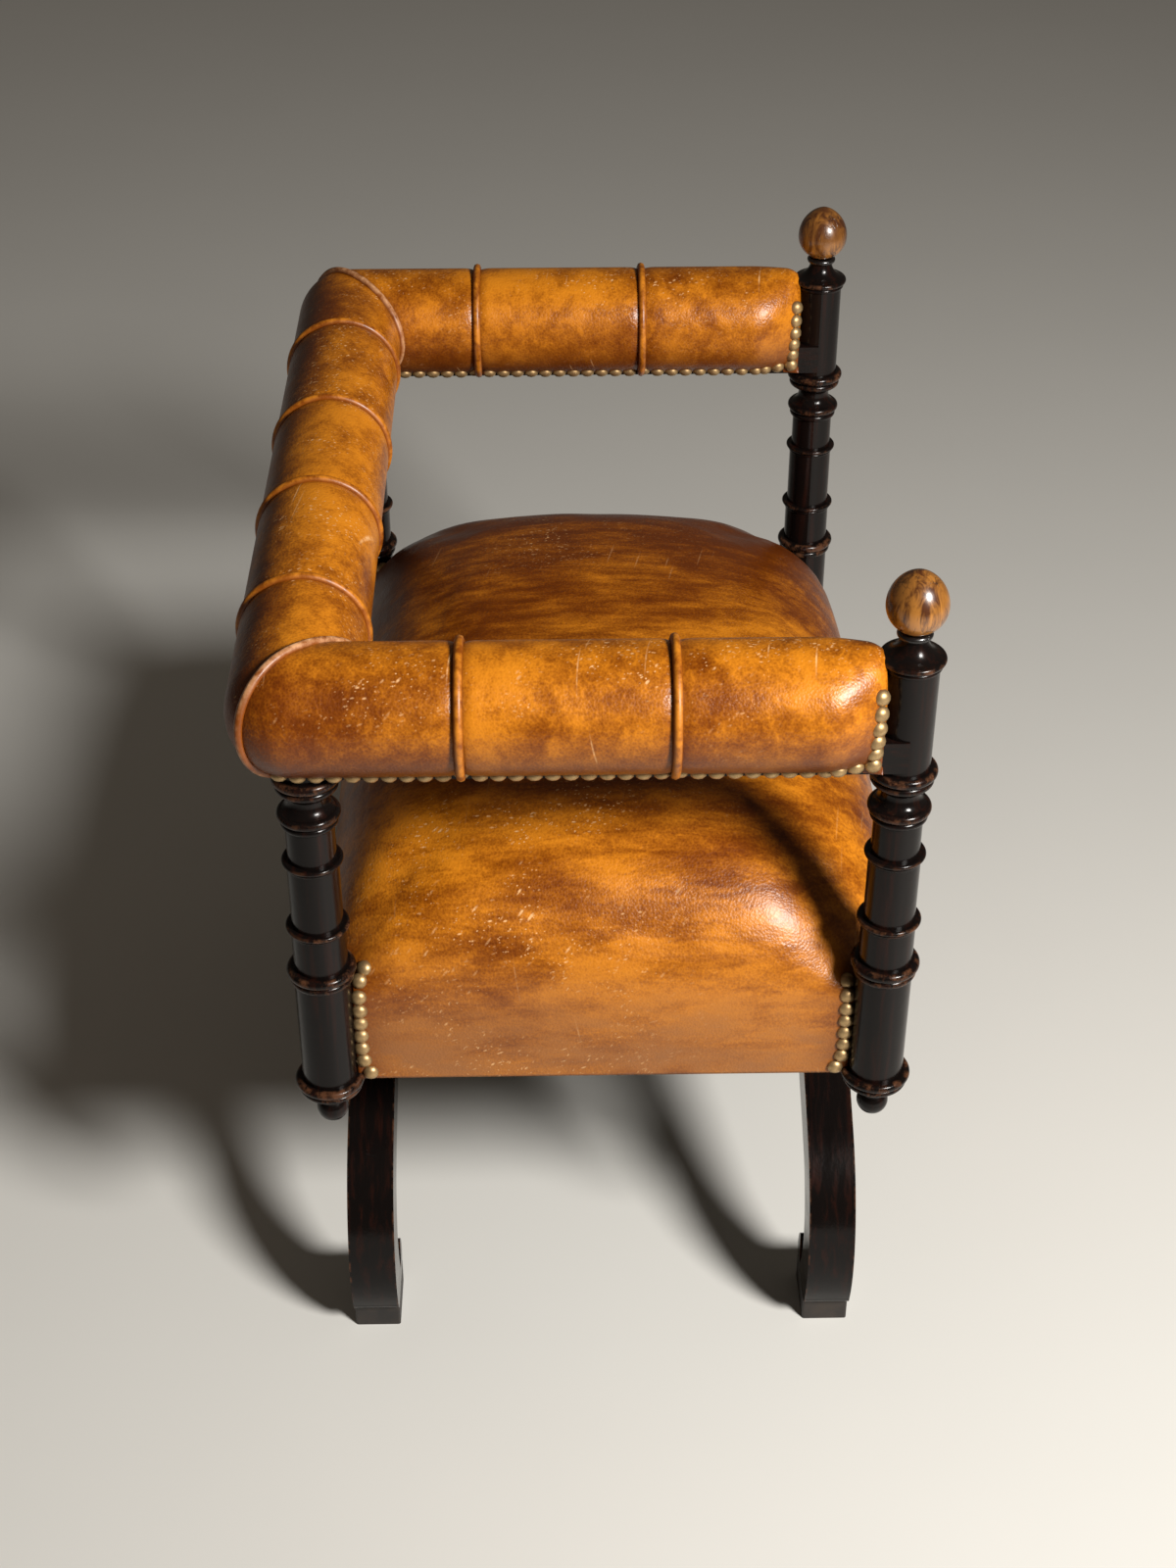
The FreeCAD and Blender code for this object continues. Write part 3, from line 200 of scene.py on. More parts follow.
class Finish:
    """A node material that is built up one node at a time."""

    def __init__(self, name):
        self.material = bpy.data.materials.new(name)
        self.material.use_nodes = True
        self.tree = self.material.node_tree
        self.shader = self.tree.nodes["Principled BSDF"]
        self.place = self.add("ShaderNodeTexCoord").outputs["Object"]

    def add(self, kind, inputs=None, **settings):
        """New node with its settings, and its inputs given or linked."""
        node = self.tree.nodes.new(kind)
        for key, value in settings.items():
            setattr(node, key, value)
        for key, value in (inputs or {}).items():
            self.put(node.inputs[key], value)
        return node

    def put(self, socket, value):
        """Give a socket a value, or link it to the output of another node."""
        if isinstance(value, bpy.types.NodeSocket):
            self.tree.links.new(value, socket)
        else:
            socket.default_value = value

    def set(self, **inputs):
        """Inputs of the finish's shader, with underscores for the spaces in their names."""
        for key, value in inputs.items():
            self.put(self.shader.inputs[key.replace("_", " ")], value)

    def stretch(self, scale, turn=(0, 0, 0), at=None):
        """Coordinates that are scaled, then turned."""
        return self.add("ShaderNodeMapping", {"Vector": at or self.place, "Scale": scale,
                                              "Rotation": turn}).outputs["Vector"]

    def cloud(self, scale, detail=4.0, rough=0.55, warp=0.0, at=None):
        """Soft noise from 0 to 1."""
        node = self.add("ShaderNodeTexNoise", {"Vector": at or self.place, "Scale": scale, "Detail": detail,
                                               "Roughness": rough, "Distortion": warp})
        return node.outputs["Fac"]

    def cells(self, scale, at=None, feature='F1'):
        """Distance from the nearest of many scattered points, or from the edges between them."""
        node = self.add("ShaderNodeTexVoronoi", {"Vector": at or self.place, "Scale": scale}, feature=feature)
        return node.outputs["Distance"]

    def between(self, value, low, high, start=0.0, end=1.0):
        """Value from low to high, stretched to run from start to end."""
        node = self.add("ShaderNodeMapRange", {"Value": value, "From Min": low, "From Max": high,
                                               "To Min": start, "To Max": end})
        return node.outputs["Result"]

    def math(self, operation, first, second=0.0):
        """Result of an operation on two numbers."""
        node = self.add("ShaderNodeMath", operation=operation)
        self.put(node.inputs[0], first)
        self.put(node.inputs[1], second)
        return node.outputs["Value"]

    def times(self, first, second):
        return self.math('MULTIPLY', first, second)

    def plus(self, first, second):
        return self.math('ADD', first, second)

    def vector(self, operation, first, second=(0, 0, 0)):
        """Outputs of an operation on two vectors."""
        return self.add("ShaderNodeVectorMath", {0: first, 1: second}, operation=operation).outputs

    def along(self, axis, vector=None):
        """One number of a vector, or of the place if no vector is given."""
        return self.add("ShaderNodeSeparateXYZ", {"Vector": vector or self.place}).outputs[axis]

    def mix(self, share, first, second):
        """Colour between two colours."""
        node = self.add("ShaderNodeMix", data_type='RGBA')
        for index, value in ((0, share), (6, first), (7, second)):
            if index and not isinstance(value, bpy.types.NodeSocket):
                value = (*value, 1.0)
            self.put(node.inputs[index], value)
        return node.outputs[2]

    def attribute(self, name):
        """A number that was measured for each point of a piece."""
        return self.add("ShaderNodeAttribute", attribute_name=name).outputs["Fac"]

    def bump(self, height, strength, distance, under=None):
        """Way that the surface faces when a height roughens it, on top of another bump if one is given."""
        node = self.add("ShaderNodeBump", {"Height": height, "Strength": strength, "Distance": distance})
        if under:
            self.put(node.inputs["Normal"], under)
        return node.outputs["Normal"]


# Layers of flecks on the hide: how each is turned, and its scale
FLECK_LAYERS = (
    ((0.5, 0.3, 0.2), 190.0),
    ((1.9, 1.1, 0.8), 240.0),
    ((0.2, 0.9, 2.4), 150.0),
    ((1.2, 2.2, 1.6), 300.0),
)


def leather_finish(name, settings, stretch, fibre, scratch):
    """Worn hide: clouds of dark stain, darker seams, flecks, scratches and a fine grain, with painted shade
    and a painted highlight from each piece's panel and seam numbers.
    """
    hide = Finish(name)
    drawn = hide.stretch(stretch)
    broad = hide.cloud(8.0, detail=3.0, rough=0.5, warp=0.2, at=drawn)
    blotch = hide.cloud(30.0, detail=6.0, rough=0.56, warp=0.3, at=drawn)
    thread = hide.cloud(1.0, detail=5.0, rough=0.60, warp=0.6, at=hide.stretch(fibre))
    fine = hide.cloud(420.0, detail=3.0, rough=0.6)
    grain = hide.cells(520.0)
    tone = hide.plus(hide.times(broad, 0.38), hide.times(blotch, 0.34))
    # The panel number shifts the tone: lighter and darker hide, and on some pieces painted shade and a
    # painted highlight
    for layer, share in ((thread, 0.28), (hide.math('SUBTRACT', fine, 0.5), 0.14),
                         (hide.math('SUBTRACT', grain, 0.4), 0.07), (hide.attribute("panel"), 1.0)):
        tone = hide.plus(tone, hide.times(layer, share))
    colour = hide.mix(hide.between(tone, 0.41, 0.65), settings.mid, settings.light)
    colour = hide.mix(hide.between(tone, 0.59, 0.37, 0.0, 0.92), colour, settings.dark)
    dull = hide.times(hide.attribute("low"), hide.between(blotch, 0.35, 0.62, 0.35, 1.0))
    colour = hide.mix(dull, colour, settings.dusty)
    # Dark beside the roll's seams and towards its lower edges, and painted shade round the seat's posts
    colour = hide.mix(hide.times(hide.attribute("seam"), 0.85), colour, settings.dark)
    wear = hide.times(hide.attribute("rub"), hide.between(hide.cloud(19.0, detail=3.0), 0.45, 0.58))
    flecks = None
    for turn, scale in FLECK_LAYERS:
        spots = hide.cells(scale, hide.stretch((1, 0.26, 1), at=hide.stretch((1, 1, 1), turn)))
        dash = hide.between(spots, 0.18, 0.08)
        flecks = hide.math('MAXIMUM', flecks, dash) if flecks else dash
    flecks = hide.times(flecks, hide.between(hide.cloud(330.0, detail=3.0, rough=0.7), 0.39, 0.52))
    slanted = hide.stretch((1, 1, 1), (0.2, 0.1, 0.16))
    lines = hide.between(hide.cells(1.0, hide.stretch((6, 170, 6), at=slanted)), 0.14, 0.05)
    lines = hide.times(lines, hide.between(hide.cloud(13.0, detail=2.0), 0.50, 0.57))
    lines = hide.times(lines, hide.between(hide.cloud(180.0, detail=3.0), 0.36, 0.52, 0.25, 1.0))
    marks = hide.math('MAXIMUM', hide.times(flecks, wear), hide.times(lines, scratch))
    colour = hide.mix(hide.times(marks, 0.85), colour, settings.scuff)
    hide.set(Base_Color=colour)
    gloss = hide.plus(hide.between(blotch, 0.3, 0.7, 0.28, 0.40), hide.times(marks, 0.25))
    hide.set(Roughness=gloss, Specular_IOR_Level=0.27, Coat_Weight=0.08, Coat_Roughness=0.2)
    crease = hide.cloud(70.0, detail=6.0, rough=0.62, warp=0.4)
    rough = hide.bump(grain, 0.28, 0.0007)
    rough = hide.bump(crease, 0.25, 0.0016, rough)
    hide.set(Normal=hide.bump(marks, 0.3, -0.0004, rough))
    return hide.material


def piping_finish(name, settings, worn):
    """Piping rubbed on its crest and stained where it lies against the hide."""
    cord = Finish(name)
    crest = cord.attribute("crest")
    broken = cord.between(cord.cloud(110.0, detail=4.0, rough=0.65), 0.36, 0.62)
    share = cord.times(crest, broken)
    colour = cord.mix(cord.cloud(60.0), settings.dark, settings.mid)
    colour = cord.mix(share, colour, worn)
    cord.set(Base_Color=colour, Roughness=cord.between(broken, 0, 1, 0.35, 0.5))
    cord.set(Normal=cord.bump(cord.cloud(420.0, detail=4.0), 0.3, 0.0005))
    return cord.material


def brass_finish(settings):
    """Old brass: bright on the crown of each nail, brown and dull in between."""
    brass = Finish("antique_brass")
    crest = brass.attribute("crest")
    stain = brass.cloud(260.0, detail=4.0, rough=0.6)
    crown = brass.between(crest, 0.0, 0.6, 0.45, 1.0)
    share = brass.times(crown, brass.between(stain, 0.26, 0.56, 0.2, 1.0))
    brass.set(Base_Color=brass.mix(share, settings.patina, settings.colour), Metallic=0.8)
    brass.set(Roughness=brass.between(share, 0, 1, 0.60, 0.42))
    brass.set(Normal=brass.bump(brass.cloud(900.0, detail=3.0), 0.15, 0.0004))
    return brass.material


def black_wood(name, settings, grain, wear):
    """Ebonised wood with a satin polish. Wear gives the share of bare wood, from the finish."""
    wood = Finish(name)
    streak = wood.cloud(1.0, detail=5.0, rough=0.62, warp=0.3, at=wood.stretch(grain))
    colour = wood.mix(wood.between(streak, 0.50, 0.72), settings.black, settings.red)
    chips = wood.between(wood.cloud(110.0, detail=5.0, rough=0.7), 0.47, 0.62)
    bare = wood.times(wear(wood), chips)
    colour = wood.mix(bare, colour, settings.worn)
    wood.set(Base_Color=colour, Specular_IOR_Level=0.15, Coat_Weight=0.06, Coat_Roughness=0.08)
    wood.set(Roughness=wood.plus(wood.between(streak, 0.3, 0.7, 0.15, 0.25),
                                 wood.times(bare, 0.2)))
    dents = wood.cloud(60.0, detail=5.0, rough=0.65)
    rough = wood.bump(streak, 0.10, 0.0006)
    wood.set(Normal=wood.bump(dents, 0.2, 0.0014, rough))
    return wood.material


# Wear of the polish, in metres: radius of a worn rim, and distance from a worn edge
RIM_START = 0.0188
RIM_BARE = 0.0206
RIM_DRIFT = 0.004
EDGE_START = 0.0016
EDGE_BARE = 0.0003


def rim_wear(axis):
    """Bare wood on the rims of a turned piece whose rings stand out from this axis."""
    def share(wood):
        apart = wood.vector('SUBTRACT', wood.place, (axis.x, axis.y, 0))["Vector"]
        flat = wood.vector('MULTIPLY', apart, (1, 1, 0))["Vector"]
        radius = wood.vector('LENGTH', flat)["Value"]
        drift = wood.times(wood.cloud(38.0, detail=3.0), RIM_DRIFT)
        return wood.between(wood.math('SUBTRACT', radius, drift), RIM_START, RIM_BARE, 0.0, 0.5)
    return share


def edge_wear(low_y, high_y):
    """Bare wood along the long edges of a leg, which lie on its two flat faces."""
    half = (high_y - low_y) / 2

    def share(wood):
        side = wood.math('ABSOLUTE', wood.math('SUBTRACT', wood.along("Y"), (low_y + high_y) / 2))
        facing = wood.along("Y", wood.add("ShaderNodeNewGeometry").outputs["Normal"])
        turned = wood.between(wood.math('ABSOLUTE', facing), 0.9, 0.5)
        return wood.times(turned, wood.between(side, half - EDGE_START, half - EDGE_BARE, 0.0, 0.5))
    return share


def faint_wear(wood):
    """A few faintly rubbed places, for wood that nobody touches."""
    return wood.between(wood.cloud(30.0), 0.7, 0.9, 0.0, 0.3)


def plain_finish(name, colour, shade, scale, rough, grain=(1, 1, 1), metal=0.0):
    """Simple two-tone finish for the pieces inside the seat and under it."""
    plain = Finish(name)
    tone = plain.cloud(scale, detail=5.0, rough=0.6, warp=0.2, at=plain.stretch(grain))
    plain.set(Base_Color=plain.mix(plain.between(tone, 0.35, 0.65), colour, shade), Metallic=metal)
    plain.set(Roughness=plain.between(tone, 0.3, 0.7, rough - 0.08, rough + 0.08))
    plain.set(Normal=plain.bump(tone, 0.25, 0.0006))
    return plain.material


def weave_finish(name, colour, shade, threads):
    """Plain-woven cloth with threads along X and Y."""
    cloth = Finish(name)
    rows = []
    for direction in ('X', 'Y'):
        wave = cloth.add("ShaderNodeTexWave", {"Vector": cloth.place, "Scale": threads, "Distortion": 0.6},
                         wave_type='BANDS', bands_direction=direction)
        rows.append(wave.outputs["Fac"])
    weave = cloth.times(rows[0], rows[1])
    cloth.set(Base_Color=cloth.mix(weave, shade, colour), Roughness=0.9)
    cloth.set(Normal=cloth.bump(weave, 0.4, 0.0006))
    return cloth.material


def paint(material, *nodes):
    """Give carried-over solids their finish."""
    for node in nodes:
        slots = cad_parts[node].data.materials
        slots.clear()
        slots.append(material)


def as_mesh(name, bm):
    """Mesh of a bmesh, which is freed."""
    mesh = bpy.data.meshes.new(name)
    bm.to_mesh(mesh)
    bm.free()
    return mesh


def placed(name, data):
    """New object in the scene."""
    obj = bpy.data.objects.new(name, data)
    bpy.context.scene.collection.objects.link(obj)
    return obj


def piece(name, source, material):
    """New object from a bmesh or a mesh, on the stool's one body."""
    if isinstance(source, bmesh.types.BMesh):
        mesh = as_mesh(name, source)
    else:
        mesh = source
        mesh.name = name
    mesh.materials.clear()
    mesh.materials.append(material)
    mesh.shade_smooth()
    obj = placed(name, mesh)
    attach(obj, "root")
    return obj


def evaluated(obj):
    """Mesh of an object with its modifiers, as a new mesh."""
    graph = bpy.context.evaluated_depsgraph_get()
    final = obj.evaluated_get(graph)
    return bpy.data.meshes.new_from_object(final, preserve_all_data_layers=True, depsgraph=graph)


def baked(obj):
    """Mesh of a helper object with its modifiers. The object is removed."""
    mesh = evaluated(obj)
    bpy.data.objects.remove(obj)
    return mesh


# Cloth simulation of the covers
CLOTH_FRAMES = 20
CLOTH_QUALITY = 6
BENDING_STIFFNESS = 4.0
SMOOTHING_ROUNDS = 10


def smoothed(moves, edges):
    """Moves of points, each averaged with the moves of its neighbours."""
    sums = [move.copy() for move in moves]
    counts = [1] * len(moves)
    for edge in edges:
        first, second = edge.vertices
        sums[first] += moves[second]
        sums[second] += moves[first]
        counts[first] += 1
        counts[second] += 1
    return [total / count for total, count in zip(sums, counts)]


def stuffed(bm, held, settings):
    """The cover swollen by its stuffing: held points stay, others move by no more than the swell."""
    start = as_mesh("cover", bm)
    rest = [vertex.co.copy() for vertex in start.vertices]
    cover = placed("cover", start)
    pins = cover.vertex_groups.new(name="held")
    for index, point in enumerate(rest):
        share = held(point)
        if share > 0:
            pins.add([index], share, 'REPLACE')
    cloth = cover.modifiers.new("Cloth", 'CLOTH')
    hide = cloth.settings
    hide.vertex_group_mass = "held"
    hide.quality = CLOTH_QUALITY
    hide.tension_stiffness = settings.stiffness
    hide.compression_stiffness = settings.stiffness
    hide.shear_stiffness = settings.stiffness / 2
    hide.bending_stiffness = BENDING_STIFFNESS
    hide.use_pressure = True
    hide.uniform_pressure_force = settings.pressure
    hide.effector_weights.gravity = 0.0
    cloth.point_cache.frame_start = 1
    cloth.point_cache.frame_end = CLOTH_FRAMES
    scene = bpy.context.scene
    for step in range(CLOTH_FRAMES):
        scene.frame_set(step + 1)
    swollen = baked(cover)
    scene.frame_set(1)
    moves = []
    for vertex, point in zip(swollen.vertices, rest):
        move = vertex.co - point
        moves.append(move * min(1.0, settings.swell / max(move.length, 1e-9)))
    for _ in range(SMOOTHING_ROUNDS):
        moves = smoothed(moves, swollen.edges)
    for vertex, point, move in zip(swollen.vertices, rest, moves):
        vertex.co = point + move * (1.0 - held(point))
    return swollen


def hide_thickness(obj, thickness):
    """Round off the faces and give the hide its thickness, inwards."""
    smooth = obj.modifiers.new("Subdivision", 'SUBSURF')
    smooth.levels = 1
    smooth.render_levels = 1
    wall = obj.modifiers.new("Hide", 'SOLIDIFY')
    wall.thickness = thickness
    wall.offset = -1.0


def measure(obj, name, value):
    """Store a number for each point of a piece, for its finish to read."""
    layer = obj.data.attributes.new(name, 'FLOAT', 'POINT')
    layer.data.foreach_set("value", [value(vertex) for vertex in obj.data.vertices])


def near(distance, reach):
    """1 at a place, falling to 0 at its reach."""
    return max(0.0, 1.0 - abs(distance) / reach) ** 2


def post_room(settings, z):
    """Room that a post needs at a height."""
    return settings.ring_radius if settings.ring_low < z < settings.ring_high else settings.shaft_radius


def fit_round(bm, axis, room):
    """Cut a cover away round an upright post and lay its edge against the post."""
    def inside(vertex):
        return (vertex.co - axis).to_2d().length < room(vertex.co.z)
    buried = [face for face in bm.faces if all(inside(vertex) for vertex in face.verts)]
    bmesh.ops.delete(bm, geom=buried, context='FACES')
    for vertex in bm.verts:
        apart = (vertex.co - axis).to_2d()
        if apart.length < room(vertex.co.z):
            apart = apart.normalized() * room(vertex.co.z)
            vertex.co.x = axis.x + apart.x
            vertex.co.y = axis.y + apart.y


# Shape of the seat before it swells, in metres
RIM_SLACK = 0.001
CUT_SLACK = 0.0005
FOLD_LENGTH = 0.13
FOLD_HALF = 0.030
BULGE_HEIGHT = 0.24
# Pull beside a back post, as a share of the pull at the front
BACK_TUCK_SHARE = 0.55
# Steps across the edge round, and cuts from the middle of the seat to each side
ROUND_SEGMENTS = 8
HALF_CUTS = 12


def whole(bm):
    """Every point, edge and face of a bmesh."""
    return bm.verts[:] + bm.edges[:] + bm.faces[:]


def seat_block(settings):
    """Closed block with a crowned top and rounded upper edges, made of even faces."""
    inset = settings.start_inset
    wide = SEAT_HIGH.x - SEAT_LOW.x - 2 * inset
    deep = SEAT_HIGH.y - SEAT_LOW.y - 2 * inset
    base = SEAT_LOW.z
    shoulder = settings.edge_round / 2
    top = base + shoulder + settings.edge_round
    bm = bmesh.new()
    bmesh.ops.create_cube(bm, size=1.0)
    bmesh.ops.scale(bm, vec=(wide, deep, top - base), verts=bm.verts)
    bmesh.ops.translate(bm, vec=(0, SEAT_MID_Y, (top + base) / 2), verts=bm.verts)
    rim = [edge for edge in bm.edges if all(vertex.co.z > top - RIM_SLACK for vertex in edge.verts)]
    bmesh.ops.bevel(bm, geom=rim, offset=settings.edge_round, segments=ROUND_SEGMENTS, profile=0.5,
                    affect='EDGES', material=-1)
    for normal, span in ((Vector((1, 0, 0)), wide), (Vector((0, 1, 0)), deep)):
        for step in range(1 - HALF_CUTS, HALF_CUTS):
            place = Vector((0, SEAT_MID_Y, 0)) + normal * (step * span / (2 * HALF_CUTS))
            bmesh.ops.bisect_plane(bm, geom=whole(bm), plane_co=place, plane_no=normal, dist=CUT_SLACK)
    for vertex in bm.verts:
        x, y = vertex.co.x, vertex.co.y - SEAT_MID_Y
        dome = SEAT_HIGH.z - inset - x * x / (2 * settings.long_radius) - y * y / (2 * settings.cross_radius)
        axis = min(POSTS.values(), key=lambda place: (vertex.co - place).to_2d().length)
        apart = (vertex.co - axis).to_2d()
        off_line = abs(abs(apart.x) - abs(apart.y)) / math.sqrt(2)
        gap = max(0.0, apart.length - settings.shaft_radius)
        dome -= settings.tuck * (1.0 if axis.y < 0 else BACK_TUCK_SHARE) * near(gap, settings.tuck_reach)
        dome -= settings.fold * near(gap, FOLD_LENGTH) * near(off_line, FOLD_HALF)
        rise = vertex.co.z - base
        if rise < shoulder:
            drop = 2 * settings.cell if rise < inset else 0.0
            vertex.co.z = base + rise / shoulder * settings.face_height - drop
        else:
            share = (rise - shoulder) / settings.edge_round
            vertex.co.z = base + settings.face_height + share * (dome - base - settings.face_height)
        if y < 0:
            height = min(1.0, (vertex.co.z - base) / BULGE_HEIGHT)
            forward = settings.bulge * math.sin(math.pi * height) * (2 * y / deep) ** 2
            vertex.co.y -= forward * max(0.0, 1 - (2 * x / wide) ** 4)
    block = placed("seat_start", as_mesh("seat_start", bm))
    remesh = block.modifiers.new("Even faces", 'REMESH')
    remesh.mode = 'VOXEL'
    remesh.voxel_size = settings.cell
    return baked(block)


# Where the seat's hide is held, darkened with painted shade round the posts and towards its far side, rubbed
# and dusty, in metres
HEM = 0.0005
HELD_BY_POST = 0.030
HELD_BY_HEM = 0.012
POST_SHADE_START = 0.021
POST_SHADE_REACH = 0.040
RUB_X = 0.23
RUB_BACK = 0.06
RUB_REACH = 0.22
SHADE_START_X = -0.03
DUST_TOP = 0.125
DUST_DEPTH = 0.095
# Strength of the rub in its middle and elsewhere, and how much darker the hide is for each metre to the
# right, partly its own tone and partly painted shade
FULL_SEAT_RUB = 2.0
FAINT_SEAT_RUB = 0.05
FAR_SHADE_AND_TONE_SLOPE = 0.60


class STOOL_OT_seat_cover(bpy.types.Operator):
    """Leather cover of the sprung seat, swollen by its stuffing and tucked in round the posts"""
    bl_idname = "stool.seat_cover"
    bl_label = "Seat cover"

    def execute(self, context):
        settings = context.scene.stool_seat
        bm = bmesh.new()
        bm.from_mesh(seat_block(settings))
        bmesh.ops.bisect_plane(bm, geom=whole(bm), plane_co=UP * (SEAT_LOW.z + HEM), plane_no=DOWN,
                               clear_outer=True)
        for axis in POSTS.values():
            fit_round(bm, axis, lambda z: post_room(settings, z))
        posts = [axis.to_2d() for axis in POSTS.values()]

        def post_gap(point):
            """Distance from the axis of the nearest post."""
            return min((point.to_2d() - axis).length for axis in posts)

        def held(point):
            """1 where the hide is tacked down, by the posts and along its lower edge."""
            return 1.0 if post_gap(point) < HELD_BY_POST or point.z < SEAT_LOW.z + HELD_BY_HEM else 0.0

        def rub(vertex):
            """The hide is most rubbed in two places behind the middle."""
            flat = Vector((abs(vertex.co.x) - RUB_X, vertex.co.y - SEAT_MID_Y - RUB_BACK))
            return min(1.0, max(FAINT_SEAT_RUB, near(flat.length, RUB_REACH) * FULL_SEAT_RUB))

        def dust(vertex):
            """The hide is dull low down on the faces."""
            return min(1.0, max(0.0, (SEAT_LOW.z + DUST_TOP - vertex.co.z) / DUST_DEPTH))

        colours = context.scene.stool_leather
        finish = leather_finish("seat_hide", colours, stretch=(1.7, 0.6, 1.4), fibre=(110, 26, 110),
                                scratch=0.3)
        seat = piece("seat_cover", stuffed(bm, held, settings), finish)
        # Painted shade: the hide is darkened in a ring round each post, where the post's shadow and the tuck
        # fall
        measure(seat, "seam", lambda vertex: near(post_gap(vertex.co) - POST_SHADE_START, POST_SHADE_REACH))
        measure(seat, "rub", rub)
        # Partly painted shade and partly the hide's own tone: darker towards the far side, to the right
        measure(seat, "panel", lambda vertex: -FAR_SHADE_AND_TONE_SLOPE * max(SHADE_START_X, vertex.co.x))
        measure(seat, "low", dust)
        hide_thickness(seat, context.scene.stool_roll.leather)
        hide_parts("seat_leather", "seat_stuffing")
        return {'FINISHED'}


def ring_steps(start, end, spacing):
    """Even steps from one place to another, both ends included."""
    count = max(1, round(abs(end - start) / spacing))
    return [start + (end - start) * step / count for step in range(count + 1)]


# The roll before it swells, in metres
ROLL_INSET = 0.0012
END_CORE = 0.006
END_SPACING = 0.003
WAIST = 0.010
ARM_POST_ROOM = 0.0190
# Share of an arm's end width that its lower part keeps all along the taper
FLARE_SHARE = 0.75
# Steps from the rim to the tip of the half ball at the end of a bar
BALL_STEPS = 12


def groove_radius(settings, place, welts):
    """Radius of the roll at a place along it, drawn in at the seams."""
    pull = max(near(place - welt, settings.groove_width) for welt in welts)
    return ROLL_RADIUS - ROLL_INSET - settings.groove * pull


def swept_bar(centre, along, rings, segments):
    """Tube through rings: a place along the axis, a half width and a half height. The first ring is round."""
    turn = UP.rotation_difference(along).to_matrix().to_4x4()
    across = Vector((abs(along.y), abs(along.x), 0))
    bm = bmesh.new()
    place, wide, tall = rings[0]
    bmesh.ops.create_circle(bm, cap_ends=True, segments=segments, radius=wide,
                            matrix=Matrix.Translation(centre + along * place) @ turn)
    edges = bm.edges[:]
    for next_place, next_wide, next_tall in rings[1:]:
        made = bmesh.ops.extrude_edge_only(bm, edges=edges)["geom"]
        verts = [part for part in made if isinstance(part, bmesh.types.BMVert)]
        edges = [part for part in made if isinstance(part, bmesh.types.BMEdge) and part.is_boundary]
        bmesh.ops.translate(bm, vec=along * (next_place - place), verts=verts)
        grow = Vector((1, 1, 1)) + across * (next_wide / wide - 1) + UP * (next_tall / tall - 1)
        bmesh.ops.scale(bm, vec=grow, verts=verts, space=Matrix.Translation(-(centre + along * next_place)))
        place, wide, tall = next_place, next_wide, next_tall
    bmesh.ops.contextual_create(bm, geom=edges)
    bmesh.ops.recalc_face_normals(bm, faces=bm.faces)
    return bm


def ball_end(place, direction, radius):
    """Rings that round off the end of a bar as half a ball."""
    rings = []
    for step in range(1, BALL_STEPS):
        angle = math.pi / 2 * step / BALL_STEPS
        across = radius * math.cos(angle)
        rings.append((place + direction * radius * math.sin(angle), across, across))
    return rings


def keep(bm, point, normal):
    """Keep what lies behind a plane."""
    bmesh.ops.bisect_plane(bm, geom=whole(bm), plane_co=point, plane_no=normal, clear_outer=True, dist=1e-5)


def end_shares(settings, gap):
    """How much an arm has narrowed and come down at a distance from its front end."""
    narrow = 1 - math.sin(math.pi / 2 * min(1.0, max(0.0, gap / settings.end_taper)))
    low = 1 - math.sin(math.pi / 2 * min(1.0, max(0.0, gap / settings.end_round)))
    return narrow, low


def arm_bar(settings, side):
    """Left or right arm of the roll, from its rounded front end to its mitre."""
    front = BACK_Y - ARM_END
    rings = [(front, END_CORE, END_CORE)]
    for place in ring_steps(front, front - settings.end_taper, END_SPACING):
        radius = groove_radius(settings, BACK_Y - place, ARM_WELTS)
        narrow, low = end_shares(settings, front - place)
        wide = radius - narrow * (radius - settings.end_half)
        rings.append((place, wide, radius - low * settings.end_drop))
    for place in ring_steps(front - settings.end_taper, 0.0, settings.spacing)[1:]:
        radius = groove_radius(settings, BACK_Y - place, ARM_WELTS)
        rings.append((place, radius, radius))
    rings += ball_end(0.0, -1, rings[-1][1])
    bm = swept_bar(Vector((side * POST_X, BACK_Y, ROLL_Z)), Vector((0, -1, 0)), rings, settings.segments)
    for vertex in bm.verts:
        across = vertex.co.x - side * POST_X
        gap = vertex.co.y - ARM_END
        if gap < settings.end_taper and vertex.co.z < ROLL_Z - WAIST:
            narrow, low = end_shares(settings, gap)
            tall = ROLL_RADIUS - low * settings.end_drop
            vertex.co.z = ROLL_Z - (ROLL_Z - vertex.co.z) * ROLL_RADIUS / tall
            flare = settings.end_half * (FLARE_SHARE + (1 - FLARE_SHARE) * narrow)
            vertex.co.x = side * POST_X + math.copysign(max(abs(across), flare), across)
    keep(bm, Vector((side * POST_X, BACK_Y, 0)), Vector((-side, 1, 0)).normalized())
    keep(bm, UP * ROLL_EDGE_Z, DOWN)
    return bm


def back_bar(settings):
    """Back of the roll, from mitre to mitre."""
    ends = ball_end(POST_X, 1, groove_radius(settings, POST_X, BACK_WELTS))
    rings = [(-place, wide, tall) for place, wide, tall in reversed(ends)]
    for place in ring_steps(-POST_X, POST_X, settings.spacing):
        radius = groove_radius(settings, place, BACK_WELTS)
        rings.append((place, radius, radius))
    rings += ends
    bm = swept_bar(Vector((0, BACK_Y, ROLL_Z)), Vector((1, 0, 0)), rings, settings.segments)
    for _, side in SIDES:
        keep(bm, Vector((side * POST_X, BACK_Y, 0)), Vector((side, -1, 0)).normalized())
    keep(bm, UP * ROLL_EDGE_Z, DOWN)
    return bm


